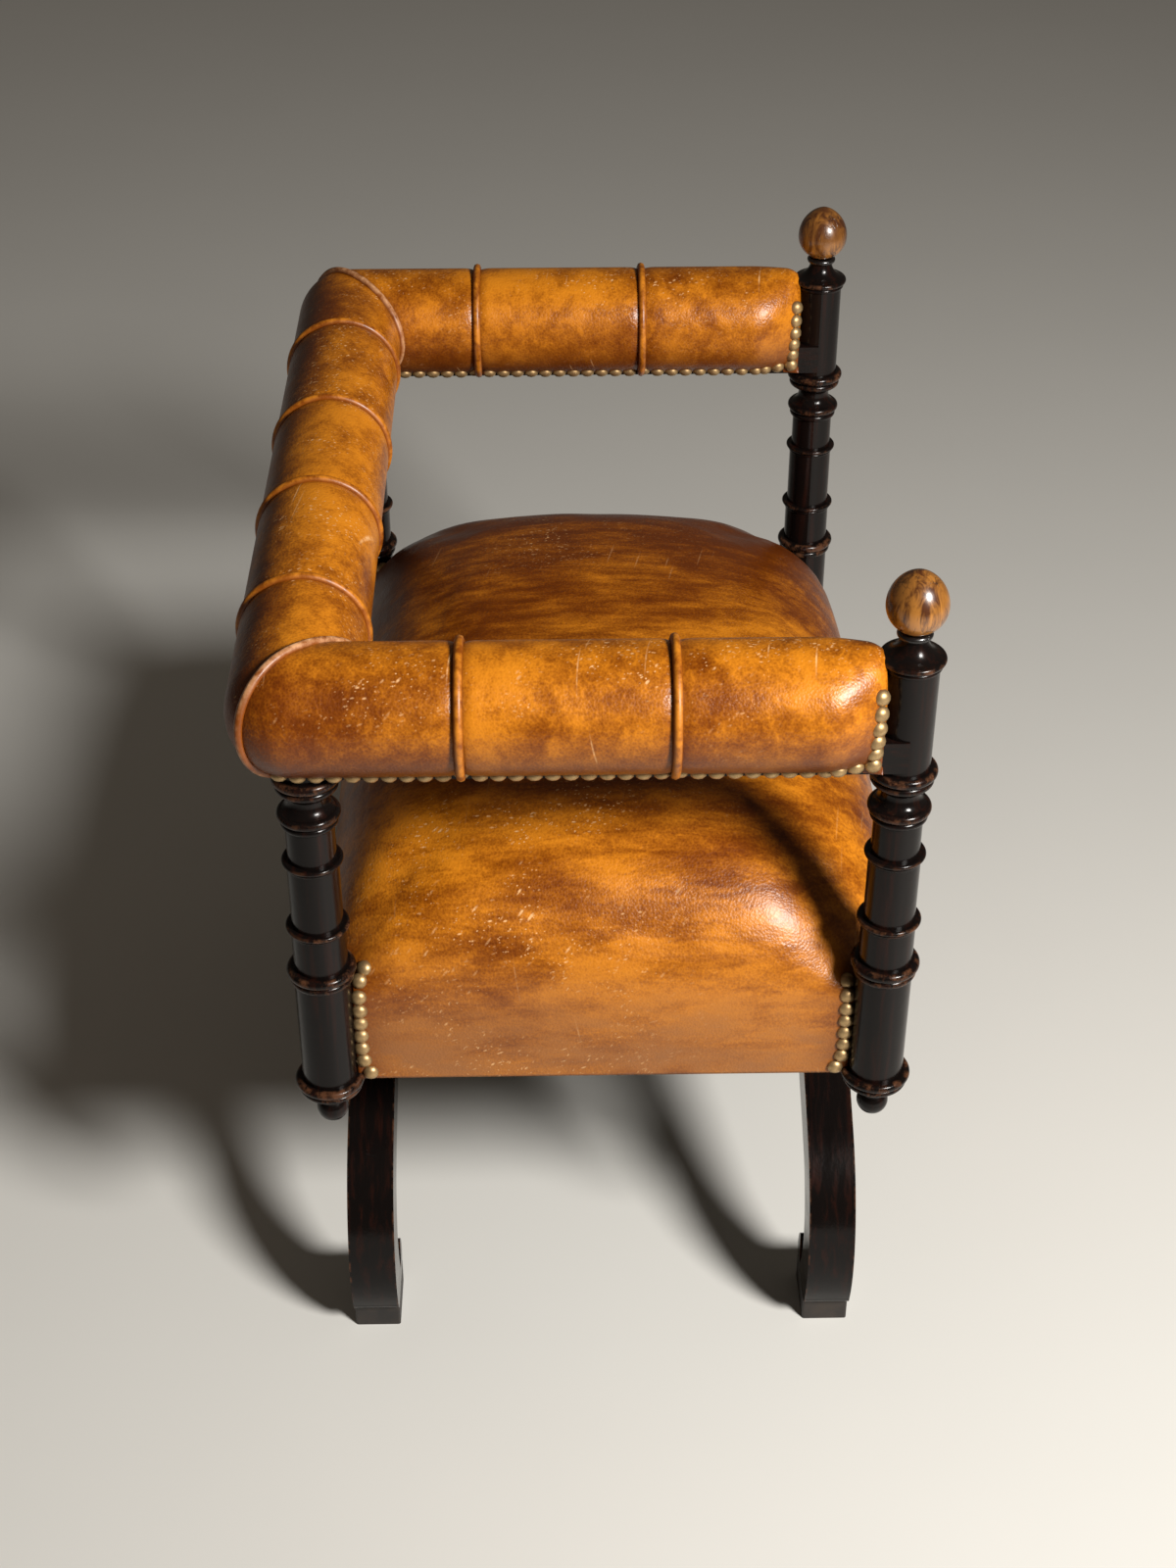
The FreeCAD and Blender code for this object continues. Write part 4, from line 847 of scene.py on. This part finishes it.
# Where the roll's hide is held, dark, rubbed and dusty, in metres
HELD_BY_EDGE = 0.010
HELD_BY_SEAM = 0.004
SEAM_STAIN = 0.010
EDGE_DARK_REACH = 0.075
EDGE_DUST = 0.055
TOP_RUB_REACH = 0.060
# Strength of the rub on top, along each axis of the roll, of the dust at the edge, and of the painted shade
# that darkens each arm towards its lower edge
TOP_RUB = {'X': 2.2, 'Y': 1.3}
FAINT_ROLL_RUB = 0.12
DUST_SHARE = 0.8
EDGE_PAINTED_SHADE = 0.12
# How light the panels are: the back at its top and less on its outer side, where painted shade darkens it,
# and each arm from front to back
BACK_SHADE = 0.03
BACK_OUTER_PAINTED_SHADE = 0.16
# Each arm's panels are lighter and darker hide; the right arm's are set lighter, in part as a painted
# highlight
LEFT_SHADES = (0.045, 0.055, -0.010)
RIGHT_SHADES = (0.050, 0.035, 0.020)


class STOOL_OT_roll_cover(bpy.types.Operator):
    """Leather of the two arms and the back, swollen between the seams"""
    bl_idname = "stool.roll_cover"
    bl_label = "Roll cover"

    def execute(self, context):
        settings = context.scene.stool_roll
        colours = context.scene.stool_leather
        finish = leather_finish("roll_hide", colours, stretch=(1, 1, 1), fibre=(70, 70, 70), scratch=0.9)
        for name, side in SIDES:
            bm = arm_bar(settings, side)
            fit_round(bm, POSTS["front", name], lambda z: ARM_POST_ROOM)
            self.cover(f"{name}_arm_cover", bm, settings, finish, 'Y', ARM_WELTS,
                       (f"{name}_arm_leather", f"{name}_arm_stuffing"))
        self.cover("back_roll_cover", back_bar(settings), settings, finish, 'X', BACK_WELTS,
                   ("back_roll_leather", "back_roll_stuffing"))
        return {'FINISHED'}

    def cover(self, name, bm, settings, finish, axis, welts, nodes):
        """One cover of the roll, which runs along an axis and has seams at the welts."""
        index = 'XYZ'.index(axis)

        def seam_gap(point):
            """Distance from the nearest seam of the roll."""
            gaps = [abs(point[index] - welt) for welt in welts]
            gaps.append(abs(abs(point.x) - POST_X - point.y + BACK_Y) / math.sqrt(2))
            return min(gaps)

        def held(point):
            """1 where the hide is tacked or sewn down."""
            at_edge = point.z < ROLL_EDGE_Z + HELD_BY_EDGE
            at_front = point.y < ARM_END + HELD_BY_EDGE
            return 1.0 if at_edge or at_front or seam_gap(point) < HELD_BY_SEAM else 0.0

        def edge(vertex, reach):
            """How near a point is to the lower edges of the roll."""
            return near(vertex.co.z - ROLL_EDGE_Z, reach)

        def panel(vertex):
            """The panels of an arm are cut from lighter and darker hide. Painted shade darkens the back on
            its outer side and each arm towards its lower edge, and the right arm's panels are set lighter, in
            part as a painted highlight.
            """
            if axis == 'X':
                return BACK_SHADE - BACK_OUTER_PAINTED_SHADE * max(0.0, (vertex.co.y - BACK_Y) / ROLL_RADIUS)
            shades = LEFT_SHADES if vertex.co.x < 0 else RIGHT_SHADES
            shade = shades[sum(vertex.co.y > welt for welt in welts)]
            # Painted shade: each arm is darker towards its lower edge
            return shade - EDGE_PAINTED_SHADE * edge(vertex, EDGE_DARK_REACH)

        def seam(vertex):
            """The hide is stained beside the seams, and darker towards its lower edges."""
            return max(near(seam_gap(vertex.co), SEAM_STAIN), edge(vertex, EDGE_DARK_REACH))

        def rub(vertex):
            """The hide is most rubbed along its top."""
            top = near(vertex.co.z - ROLL_Z - ROLL_RADIUS, TOP_RUB_REACH)
            return max(FAINT_ROLL_RUB, min(1.0, TOP_RUB[axis] * top))

        cover = piece(name, stuffed(bm, held, settings), finish)
        measure(cover, "seam", seam)
        measure(cover, "panel", panel)
        measure(cover, "low", lambda vertex: DUST_SHARE * edge(vertex, EDGE_DUST))
        measure(cover, "rub", rub)
        hide_thickness(cover, settings.leather)
        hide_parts(*nodes)


# How deep the piping lies in the roll, in metres, and its points round the roll
PIPING_SINK = 0.0006
BACK_PIPING_SINK = 0.0012
GIRTH_STEPS = 40
MITRE_STEPS = 44


def cord_along(name, points, radius):
    """Mesh of a round cord through a few points."""
    curve = bpy.data.curves.new(name, 'CURVE')
    curve.dimensions = '3D'
    curve.bevel_depth = radius
    curve.bevel_resolution = 2
    curve.use_fill_caps = True
    spline = curve.splines.new('NURBS')
    spline.points.add(len(points) - 1)
    for spot, point in zip(spline.points, points):
        spot.co = (*point, 1.0)
    spline.order_u = 3
    spline.use_endpoint_u = True
    spline.resolution_u = 2
    return baked(placed(name + "_path", curve))


def girth(radius_in, radius_out, steps):
    """Places round the roll from its inner to its outer lower edge, as across and up from the axis."""
    turn = math.pi - EDGE_ANGLE
    for step in range(steps + 1):
        angle = -turn + 2 * turn * step / steps
        across = math.sin(angle) * (radius_out if angle > 0 else radius_in)
        yield across, math.cos(angle)


class STOOL_OT_piping(bpy.types.Operator):
    """Piped seams of the roll, laid into the grooves of the leather"""
    bl_idname = "stool.piping"
    bl_label = "Piping"

    def execute(self, context):
        settings = context.scene.stool_roll
        leather = context.scene.stool_leather
        finish = piping_finish("piping_leather", leather, leather.light)
        pale = piping_finish("mitre_piping_leather", leather, leather.piping)
        radius = ROLL_RADIUS - PIPING_SINK
        for name, side in SIDES:
            rings = [[Vector((side * POST_X + across * radius, welt, ROLL_Z + up * radius))
                      for across, up in girth(1, 1, GIRTH_STEPS)] for welt in ARM_WELTS]
            self.lay(f"{name}_arm_piping_cord", rings, settings, finish, f"{name}_arm_piping")
            corner = Vector((side * POST_X, BACK_Y, ROLL_Z))
            diagonal = Vector((side, 1, 0)).normalized()
            mitre = [corner + diagonal * across * radius + UP * up * radius
                     for across, up in girth(math.sqrt(2), 1, MITRE_STEPS)]
            self.lay(f"{name}_mitre_piping_cord", [mitre], settings, pale, f"{name}_mitre_piping")
        sunk = radius - BACK_PIPING_SINK
        rings = [[Vector((welt, BACK_Y + across * sunk, ROLL_Z + up * sunk))
                  for across, up in girth(1, 1, GIRTH_STEPS)] for welt in BACK_WELTS]
        self.lay("back_piping_cord", rings, settings, finish, "back_roll_piping")
        return {'FINISHED'}

    def lay(self, name, rings, settings, finish, node):
        """One piece of piping from rings of points, in place of a solid."""
        bm = bmesh.new()
        for index, ring in enumerate(rings):
            bm.from_mesh(cord_along(f"{name}_{index}", ring, settings.piping_radius))
        bmesh.ops.remove_doubles(bm, verts=bm.verts, dist=1e-6)
        bmesh.ops.recalc_face_normals(bm, faces=bm.faces)
        cord = piece(name, bm, finish)

        def crest(vertex):
            """How squarely a point faces away from the roll's axis."""
            spot = vertex.co - UP * ROLL_Z
            out = Vector((0, spot.y - BACK_Y, spot.z))
            if "arm" in name:
                out = Vector((spot.x - math.copysign(POST_X, spot.x), 0, spot.z))
            return max(0.0, min(1.0, vertex.normal.dot(out.normalized())))

        measure(cord, "crest", crest)
        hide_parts(node)


# How a nail finds the leather and sits in it, in metres
SEARCH_START = 0.03
SEARCH_REACH = 0.045
NAIL_SINK = 0.0004
# Skirt of a head below its dome, as a share of its height, and how far heads lean at random
SKIRT_SHARE = 0.05
LEAN = 0.2
LEAN_SCALE = 900
LEAN_SHIFTS = (0, 7, 19)


def nail_head(settings):
    """One domed nail head that stands on the XY plane."""
    bm = bmesh.new()
    bmesh.ops.create_uvsphere(bm, u_segments=12, v_segments=6, radius=1.0)
    keep(bm, DOWN * SKIRT_SHARE, DOWN)
    bmesh.ops.holes_fill(bm, edges=[edge for edge in bm.edges if edge.is_boundary])
    bmesh.ops.scale(bm, vec=(settings.radius, settings.radius, settings.height), verts=bm.verts)
    bmesh.ops.recalc_face_normals(bm, faces=bm.faces)
    return as_mesh("nail", bm)


def row(start, end, pitch):
    """Even places from start to end, about a pitch apart."""
    count = max(1, round((end - start).length / pitch))
    return [start.lerp(end, step / count) for step in range(count + 1)]


def surface(names):
    """Search trees of finished covers, by name."""
    trees = {}
    for name in names:
        bm = bmesh.new()
        bm.from_mesh(evaluated(bpy.data.objects[name]))
        trees[name] = BVHTree.FromBMesh(bm)
        bm.free()
    return trees


def hammered(name, places, settings, finish):
    """Group of nails. A place is a point, the way that the head faces, and the search tree of the cover."""
    head = nail_head(settings)
    bm = bmesh.new()
    for point, facing, tree in places:
        spot, normal, _, gap = tree.ray_cast(point + facing * SEARCH_START, -facing, SEARCH_REACH)
        if spot is None:
            spot, normal, _, gap = tree.find_nearest(point)
        if gap > SEARCH_REACH:
            raise RuntimeError(f"{name}: no leather under a nail at {tuple(point)}")
        wobble = Vector([noise.noise(point * LEAN_SCALE + UP * shift) for shift in LEAN_SHIFTS])
        facing = (facing + normal + wobble * LEAN).normalized()
        turn = UP.rotation_difference(facing).to_matrix().to_4x4()
        old = set(bm.verts)
        bm.from_mesh(head)
        new = [vertex for vertex in bm.verts if vertex not in old]
        bmesh.ops.transform(bm, matrix=Matrix.Translation(spot - facing * NAIL_SINK) @ turn, verts=new)
    crests = [vertex.co.z / settings.height for vertex in head.vertices]
    nails = piece(name, bm, finish)
    measure(nails, "crest", lambda vertex: crests[vertex.index % len(crests)])


def edge_row(rise):
    """Direction from the roll's axis to a row of nails near its edge, as across and up."""
    angle = EDGE_ANGLE + rise / ROLL_RADIUS
    return math.sin(angle), -math.cos(angle)


# Rows on the seat, in metres from its underside: the lowest nail, the highest, and where a row bends in
SEAT_ROW_LOW = 0.0065
SEAT_ROW_HIGH = {"front": 0.084, "back": 0.100}
SEAT_ROW_BEND = {"front": 0.072, "back": 0.086}
# Lean of a bent row for each metre above the bend, and how far it comes in, as a share of the height
BEND_LEAN = 45
BEND_SHARE = 0.4
# Distance of a row from the post's axis, and how it swerves round the rings, in metres
ROW_GAP = 0.0246
SWERVE = 0.0052
FOOT_RING_REACH = 0.020
RING_Z = 0.382
RING_REACH = 0.022
# Rows under the roll's edge, in metres: rise from the edge, and where they start and end
OUTER_RISE = -0.0008
INNER_RISE = 0.0048
BACK_RISE = 0.0050
ARM_ROW_START = 0.038
ARM_ROW_PAST = 0.010
BACK_ROW_PAST = 0.004
# Share of the roll's radius by which the back's inner row stops short of the posts
BACK_ROW_SHARE = 0.75
# Rows beside the end of an arm, in metres: behind the end and above the axis, and half their distance apart
END_ROW_LOW = (0.0072, -0.034)
END_ROW_HIGH = (0.0052, 0.020)
END_ROW_HALF = 0.020
END_ROW_FOOT = -0.0345
# Way that the nails at the foot of such a row face, outwards and up
FOOT_OUT = 0.9
FOOT_UP = -0.43


class STOOL_OT_nails(bpy.types.Operator):
    """Rows of brass nails along the leather's edges on the seat, the arms and the back"""
    bl_idname = "stool.nails"
    bl_label = "Brass nails"

    def execute(self, context):
        settings = context.scene.stool_nails
        finish = brass_finish(settings)
        trees = surface(["seat_cover", "left_arm_cover", "right_arm_cover", "back_roll_cover"])
        hammered("seat_nails", self.seat_places(settings, trees["seat_cover"]), settings, finish)
        arms = []
        for name, side in SIDES:
            arms += self.arm_places(settings, side, trees[f"{name}_arm_cover"])
        hammered("arm_nails", arms, settings, finish)
        hammered("back_nails", self.back_places(settings, trees["back_roll_cover"]), settings, finish)
        return {'FINISHED'}

    def seat_places(self, settings, tree):
        """Upright rows beside each post, on both faces of the corner, that swerve round the post's rings."""
        places = []
        low = SEAT_LOW.z + SEAT_ROW_LOW
        for (end, _), axis in POSTS.items():
            out_x = math.copysign(1, axis.x)
            out_y = math.copysign(1, axis.y - SEAT_MID_Y)
            face_y = SEAT_MID_Y + out_y * (SEAT_HIGH.y - SEAT_MID_Y)
            high = SEAT_LOW.z + SEAT_ROW_HIGH[end]
            for point in row(Vector((0, 0, low)), Vector((0, 0, high)), settings.pitch):
                ring = max(near(point.z - low, FOOT_RING_REACH), near(point.z - RING_Z, RING_REACH))
                beside = ROW_GAP + SWERVE * ring
                over = max(0.0, point.z - SEAT_LOW.z - SEAT_ROW_BEND[end])
                lean = UP * min(1.0, over * BEND_LEAN)
                inward = over * BEND_SHARE
                side = Vector((out_x * (SEAT_HIGH.x - inward), axis.y - out_y * beside, point.z))
                face = Vector((axis.x - out_x * beside, face_y - out_y * inward, point.z))
                places.append((side, (Vector((out_x, 0, 0)) + lean).normalized(), tree))
                places.append((face, (Vector((0, out_y, 0)) + lean).normalized(), tree))
        return places

    def arm_places(self, settings, side, tree):
        """Rows under the inner and outer edge of an arm, and up both sides of its post."""
        places = []
        for out in (-1, 1):
            outer = out == side
            across, up = edge_row(OUTER_RISE if outer else INNER_RISE)
            x = side * POST_X + out * across * ROLL_RADIUS
            z = ROLL_Z + up * ROLL_RADIUS
            back = BACK_Y + (ARM_ROW_PAST if outer else -ROLL_RADIUS)
            start = Vector((x, ARM_END + ARM_ROW_START, z))
            for point in row(start, Vector((x, back, z)), settings.wide_pitch):
                places.append((point, Vector((out * across, 0, up)), tree))
            beside = side * POST_X + out * END_ROW_HALF
            low, high = [Vector((beside, ARM_END + behind, ROLL_Z + above))
                         for behind, above in (END_ROW_LOW, END_ROW_HIGH)]
            for point in row(low, high, settings.pitch):
                places.append((point, Vector((out, 0, 0)), tree))
            for step in (1, 2):
                point = Vector((beside, low.y + step * settings.pitch, ROLL_Z + END_ROW_FOOT))
                places.append((point, Vector((out * FOOT_OUT, 0, FOOT_UP)), tree))
        return places

    def back_places(self, settings, tree):
        """Rows under the inner and outer edge of the back."""
        places = []
        across, up = edge_row(BACK_RISE)
        z = ROLL_Z + up * ROLL_RADIUS
        for out in (-1, 1):
            y = BACK_Y + out * across * ROLL_RADIUS
            half = POST_X + (BACK_ROW_PAST if out > 0 else -ROLL_RADIUS * BACK_ROW_SHARE)
            for point in row(Vector((-half, y, z)), Vector((half, y, z)), settings.wide_pitch):
                places.append((point, Vector((0, out * across, up)), tree))
        return places


# Scale of the wood's grain along X, Y and Z, small along the fibres
POST_GRAIN = (150, 150, 9)
LEG_GRAIN = (9, 160, 40)
RAIL_GRAIN = (40, 40, 160)
BEECH_GRAIN = (20, 20, 160)
EGG_GRAIN = (120, 120, 16)
CRACK_GRAIN = (210, 210, 24)


class STOOL_OT_woodwork(bpy.types.Operator):
    """Ebonised finish of the posts, legs, stretcher, roll rails and foot pads"""
    bl_idname = "stool.woodwork"
    bl_label = "Woodwork"

    def execute(self, context):
        settings = context.scene.stool_wood
        for end in ENDS:
            for side, _ in SIDES:
                post = f"{end}_{side}_post"
                paint(black_wood(f"{post}_polish", settings, POST_GRAIN, rim_wear(middle(post))), post)
            low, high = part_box(f"{end}_left_leg")
            legs = black_wood(f"{end}_leg_polish", settings, LEG_GRAIN, edge_wear(low.y, high.y))
            pads = plain_finish(f"{end}_pad_wood", (0.012, 0.010, 0.009), (0.035, 0.026, 0.02), 60.0, 0.6)
            for side, _ in SIDES:
                paint(legs, f"{end}_{side}_leg")
                paint(pads, f"{end}_{side}_foot_pad")
        rails = black_wood("rail_polish", settings, RAIL_GRAIN, faint_wear)
        paint(rails, "stretcher", "left_arm_rail", "right_arm_rail", "back_top_rail")
        return {'FINISHED'}


# Darker top of each egg: where it starts and is full, in metres below the top, and its strength
TOP_DARKENING = {"left": (0.030, 0.012, 0.5), "right": (0.040, 0.020, 0.95)}
# Black foot of an egg, in metres above the end of its dowel
FOOT_FULL = 0.029
FOOT_END = 0.031


class STOOL_OT_finials(bpy.types.Operator):
    """Golden brown egg finials with dark streaks and fine cracks"""
    bl_idname = "stool.finials"
    bl_label = "Finials"

    def execute(self, context):
        settings = context.scene.stool_wood
        for side, _ in SIDES:
            node = f"front_{side}_finial"
            low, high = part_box(node)
            egg = Finish(f"{node}_polish")
            drawn = egg.stretch(EGG_GRAIN)
            streak = egg.cloud(1.0, detail=6.0, rough=0.65, warp=0.8, at=drawn)
            broad = egg.cloud(45.0, detail=3.0, rough=0.5)
            tone = egg.plus(egg.times(streak, 0.65), egg.times(broad, 0.35))
            colour = egg.mix(egg.between(tone, 0.55, 0.42), settings.golden, settings.streak)
            gaps = egg.cells(1.0, egg.stretch(CRACK_GRAIN), 'DISTANCE_TO_EDGE')
            crack = egg.times(egg.between(gaps, 0.05, 0.0), egg.between(egg.cloud(70.0), 0.50, 0.60))
            height = egg.along("Z")
            foot = egg.between(height, low.z + FOOT_FULL, low.z + FOOT_END, 1.0, 0.0)
            start, full, strength = TOP_DARKENING[side]
            darker_top = egg.times(egg.between(height, high.z - start, high.z - full), egg.between(broad, 0.3, 0.6))
            colour = egg.mix(egg.times(darker_top, strength), colour, settings.streak)
            colour = egg.mix(egg.times(crack, 0.8), colour, settings.black)
            colour = egg.mix(foot, colour, settings.black)
            egg.set(Base_Color=colour, Roughness=egg.between(streak, 0.3, 0.7, 0.22, 0.36))
            egg.set(Coat_Weight=0.5, Coat_Roughness=0.12)
            egg.set(Normal=egg.bump(crack, 0.4, -0.0006, egg.bump(streak, 0.08, 0.0005)))
            paint(egg.material, node)
        return {'FINISHED'}


class STOOL_OT_inner_frame(bpy.types.Operator):
    """Plain finishes of the beech frame, webbing, springs, canvas, dust cloth and screws"""
    bl_idname = "stool.inner_frame"
    bl_label = "Inner frame"

    def execute(self, context):
        beech = plain_finish("beech", (0.50, 0.34, 0.20), (0.36, 0.22, 0.12), 1.0, 0.6, BEECH_GRAIN)
        paint(beech, "front_seat_rail", "back_seat_rail", "left_seat_rail", "right_seat_rail")
        paint(beech, *[f"{end}_{side}_corner_block" for end, side in POSTS])
        jute = weave_finish("jute", (0.45, 0.34, 0.2), (0.22, 0.15, 0.08), 220.0)
        paint(jute, "crosswise_webbing", "lengthwise_webbing")
        hessian = weave_finish("hessian", (0.46, 0.37, 0.24), (0.25, 0.18, 0.1), 300.0)
        paint(hessian, "spring_canvas")
        dust_cloth = weave_finish("dust_cloth", (0.03, 0.028, 0.026), (0.012, 0.011, 0.010), 500.0)
        paint(dust_cloth, "bottom_cloth")
        steel = plain_finish("spring_steel", (0.28, 0.26, 0.24), (0.12, 0.10, 0.09), 90.0, 0.4, metal=1.0)
        paint(steel, "seat_springs", "leg_screws")
        return {'FINISHED'}


# Brightness of the floor's darker clouds, as a share of the lighter
FLOOR_SHADE = 0.96


class STOOL_OT_stage(bpy.types.Operator):
    """Pale floor, one soft lamp, light from all round and the camera"""
    bl_idname = "stool.stage"
    bl_label = "Stage"

    def execute(self, context):
        settings = context.scene.stool_stage
        scene = context.scene
        bm = bmesh.new()
        bmesh.ops.create_grid(bm, x_segments=1, y_segments=1, size=settings.floor_size / 2)
        floor = placed("floor", as_mesh("floor", bm))
        paintwork = Finish("floor_paint")
        tone = paintwork.cloud(3.0, detail=5.0, rough=0.6)
        darker = [channel * FLOOR_SHADE for channel in settings.floor]
        paintwork.set(Base_Color=paintwork.mix(tone, settings.floor, darker), Roughness=0.55)
        floor.data.materials.append(paintwork.material)

        lamp = bpy.data.lights.new("lamp", 'AREA')
        lamp.shape = 'DISK'
        lamp.size = settings.key_size
        lamp.energy = settings.key_power
        lamp.color = settings.key_colour
        panel = placed("lamp", lamp)
        panel.location = settings.key_place
        aim = Vector(settings.key_aim) - Vector(settings.key_place)
        panel.rotation_euler = aim.to_track_quat('-Z', 'Y').to_euler()

        world = bpy.data.worlds.new("room")
        world.use_nodes = True
        sky = world.node_tree.nodes["Background"]
        sky.inputs["Color"].default_value = (*settings.fill_colour, 1.0)
        sky.inputs["Strength"].default_value = settings.fill
        scene.world = world

        view = bpy.data.cameras.new("camera")
        view.lens = settings.lens
        view.sensor_width = settings.sensor
        eye = placed("camera", view)
        eye.location = settings.camera_place
        eye.rotation_euler = (math.pi / 2 - settings.camera_tilt, 0, settings.camera_turn - math.pi / 2)
        scene.camera = eye
        scene.view_settings.view_transform = 'Standard'
        return {'FINISHED'}


class STOOL_PT_panel(bpy.types.Panel):
    """Buttons for the stool's pieces"""
    bl_label = "Stool"
    bl_idname = "STOOL_PT_panel"
    bl_space_type = 'VIEW_3D'
    bl_region_type = 'UI'
    bl_category = "Stool"

    def draw(self, context):
        for step in STEPS:
            self.layout.operator(step.bl_idname)


STEPS = (
    STOOL_OT_woodwork,
    STOOL_OT_finials,
    STOOL_OT_inner_frame,
    STOOL_OT_seat_cover,
    STOOL_OT_roll_cover,
    STOOL_OT_piping,
    STOOL_OT_nails,
    STOOL_OT_stage,
)
GROUPS = {
    "stool_seat": SeatSettings,
    "stool_roll": RollSettings,
    "stool_nails": NailSettings,
    "stool_leather": LeatherSettings,
    "stool_wood": WoodSettings,
    "stool_stage": StageSettings,
}


def register():
    for group in GROUPS.values():
        bpy.utils.register_class(group)
    for name, group in GROUPS.items():
        setattr(bpy.types.Scene, name, PointerProperty(type=group))
    for step in STEPS:
        bpy.utils.register_class(step)
    bpy.utils.register_class(STOOL_PT_panel)


def unregister():
    bpy.utils.unregister_class(STOOL_PT_panel)
    for step in reversed(STEPS):
        bpy.utils.unregister_class(step)
    for name in GROUPS:
        delattr(bpy.types.Scene, name)
    for group in reversed(GROUPS.values()):
        bpy.utils.unregister_class(group)


def main():
    register()
    bpy.ops.stool.woodwork()
    bpy.ops.stool.finials()
    bpy.ops.stool.inner_frame()
    bpy.ops.stool.seat_cover()
    bpy.ops.stool.roll_cover()
    bpy.ops.stool.piping()
    bpy.ops.stool.nails()
    bpy.ops.stool.stage()


if __name__ == "__main__":
    main()
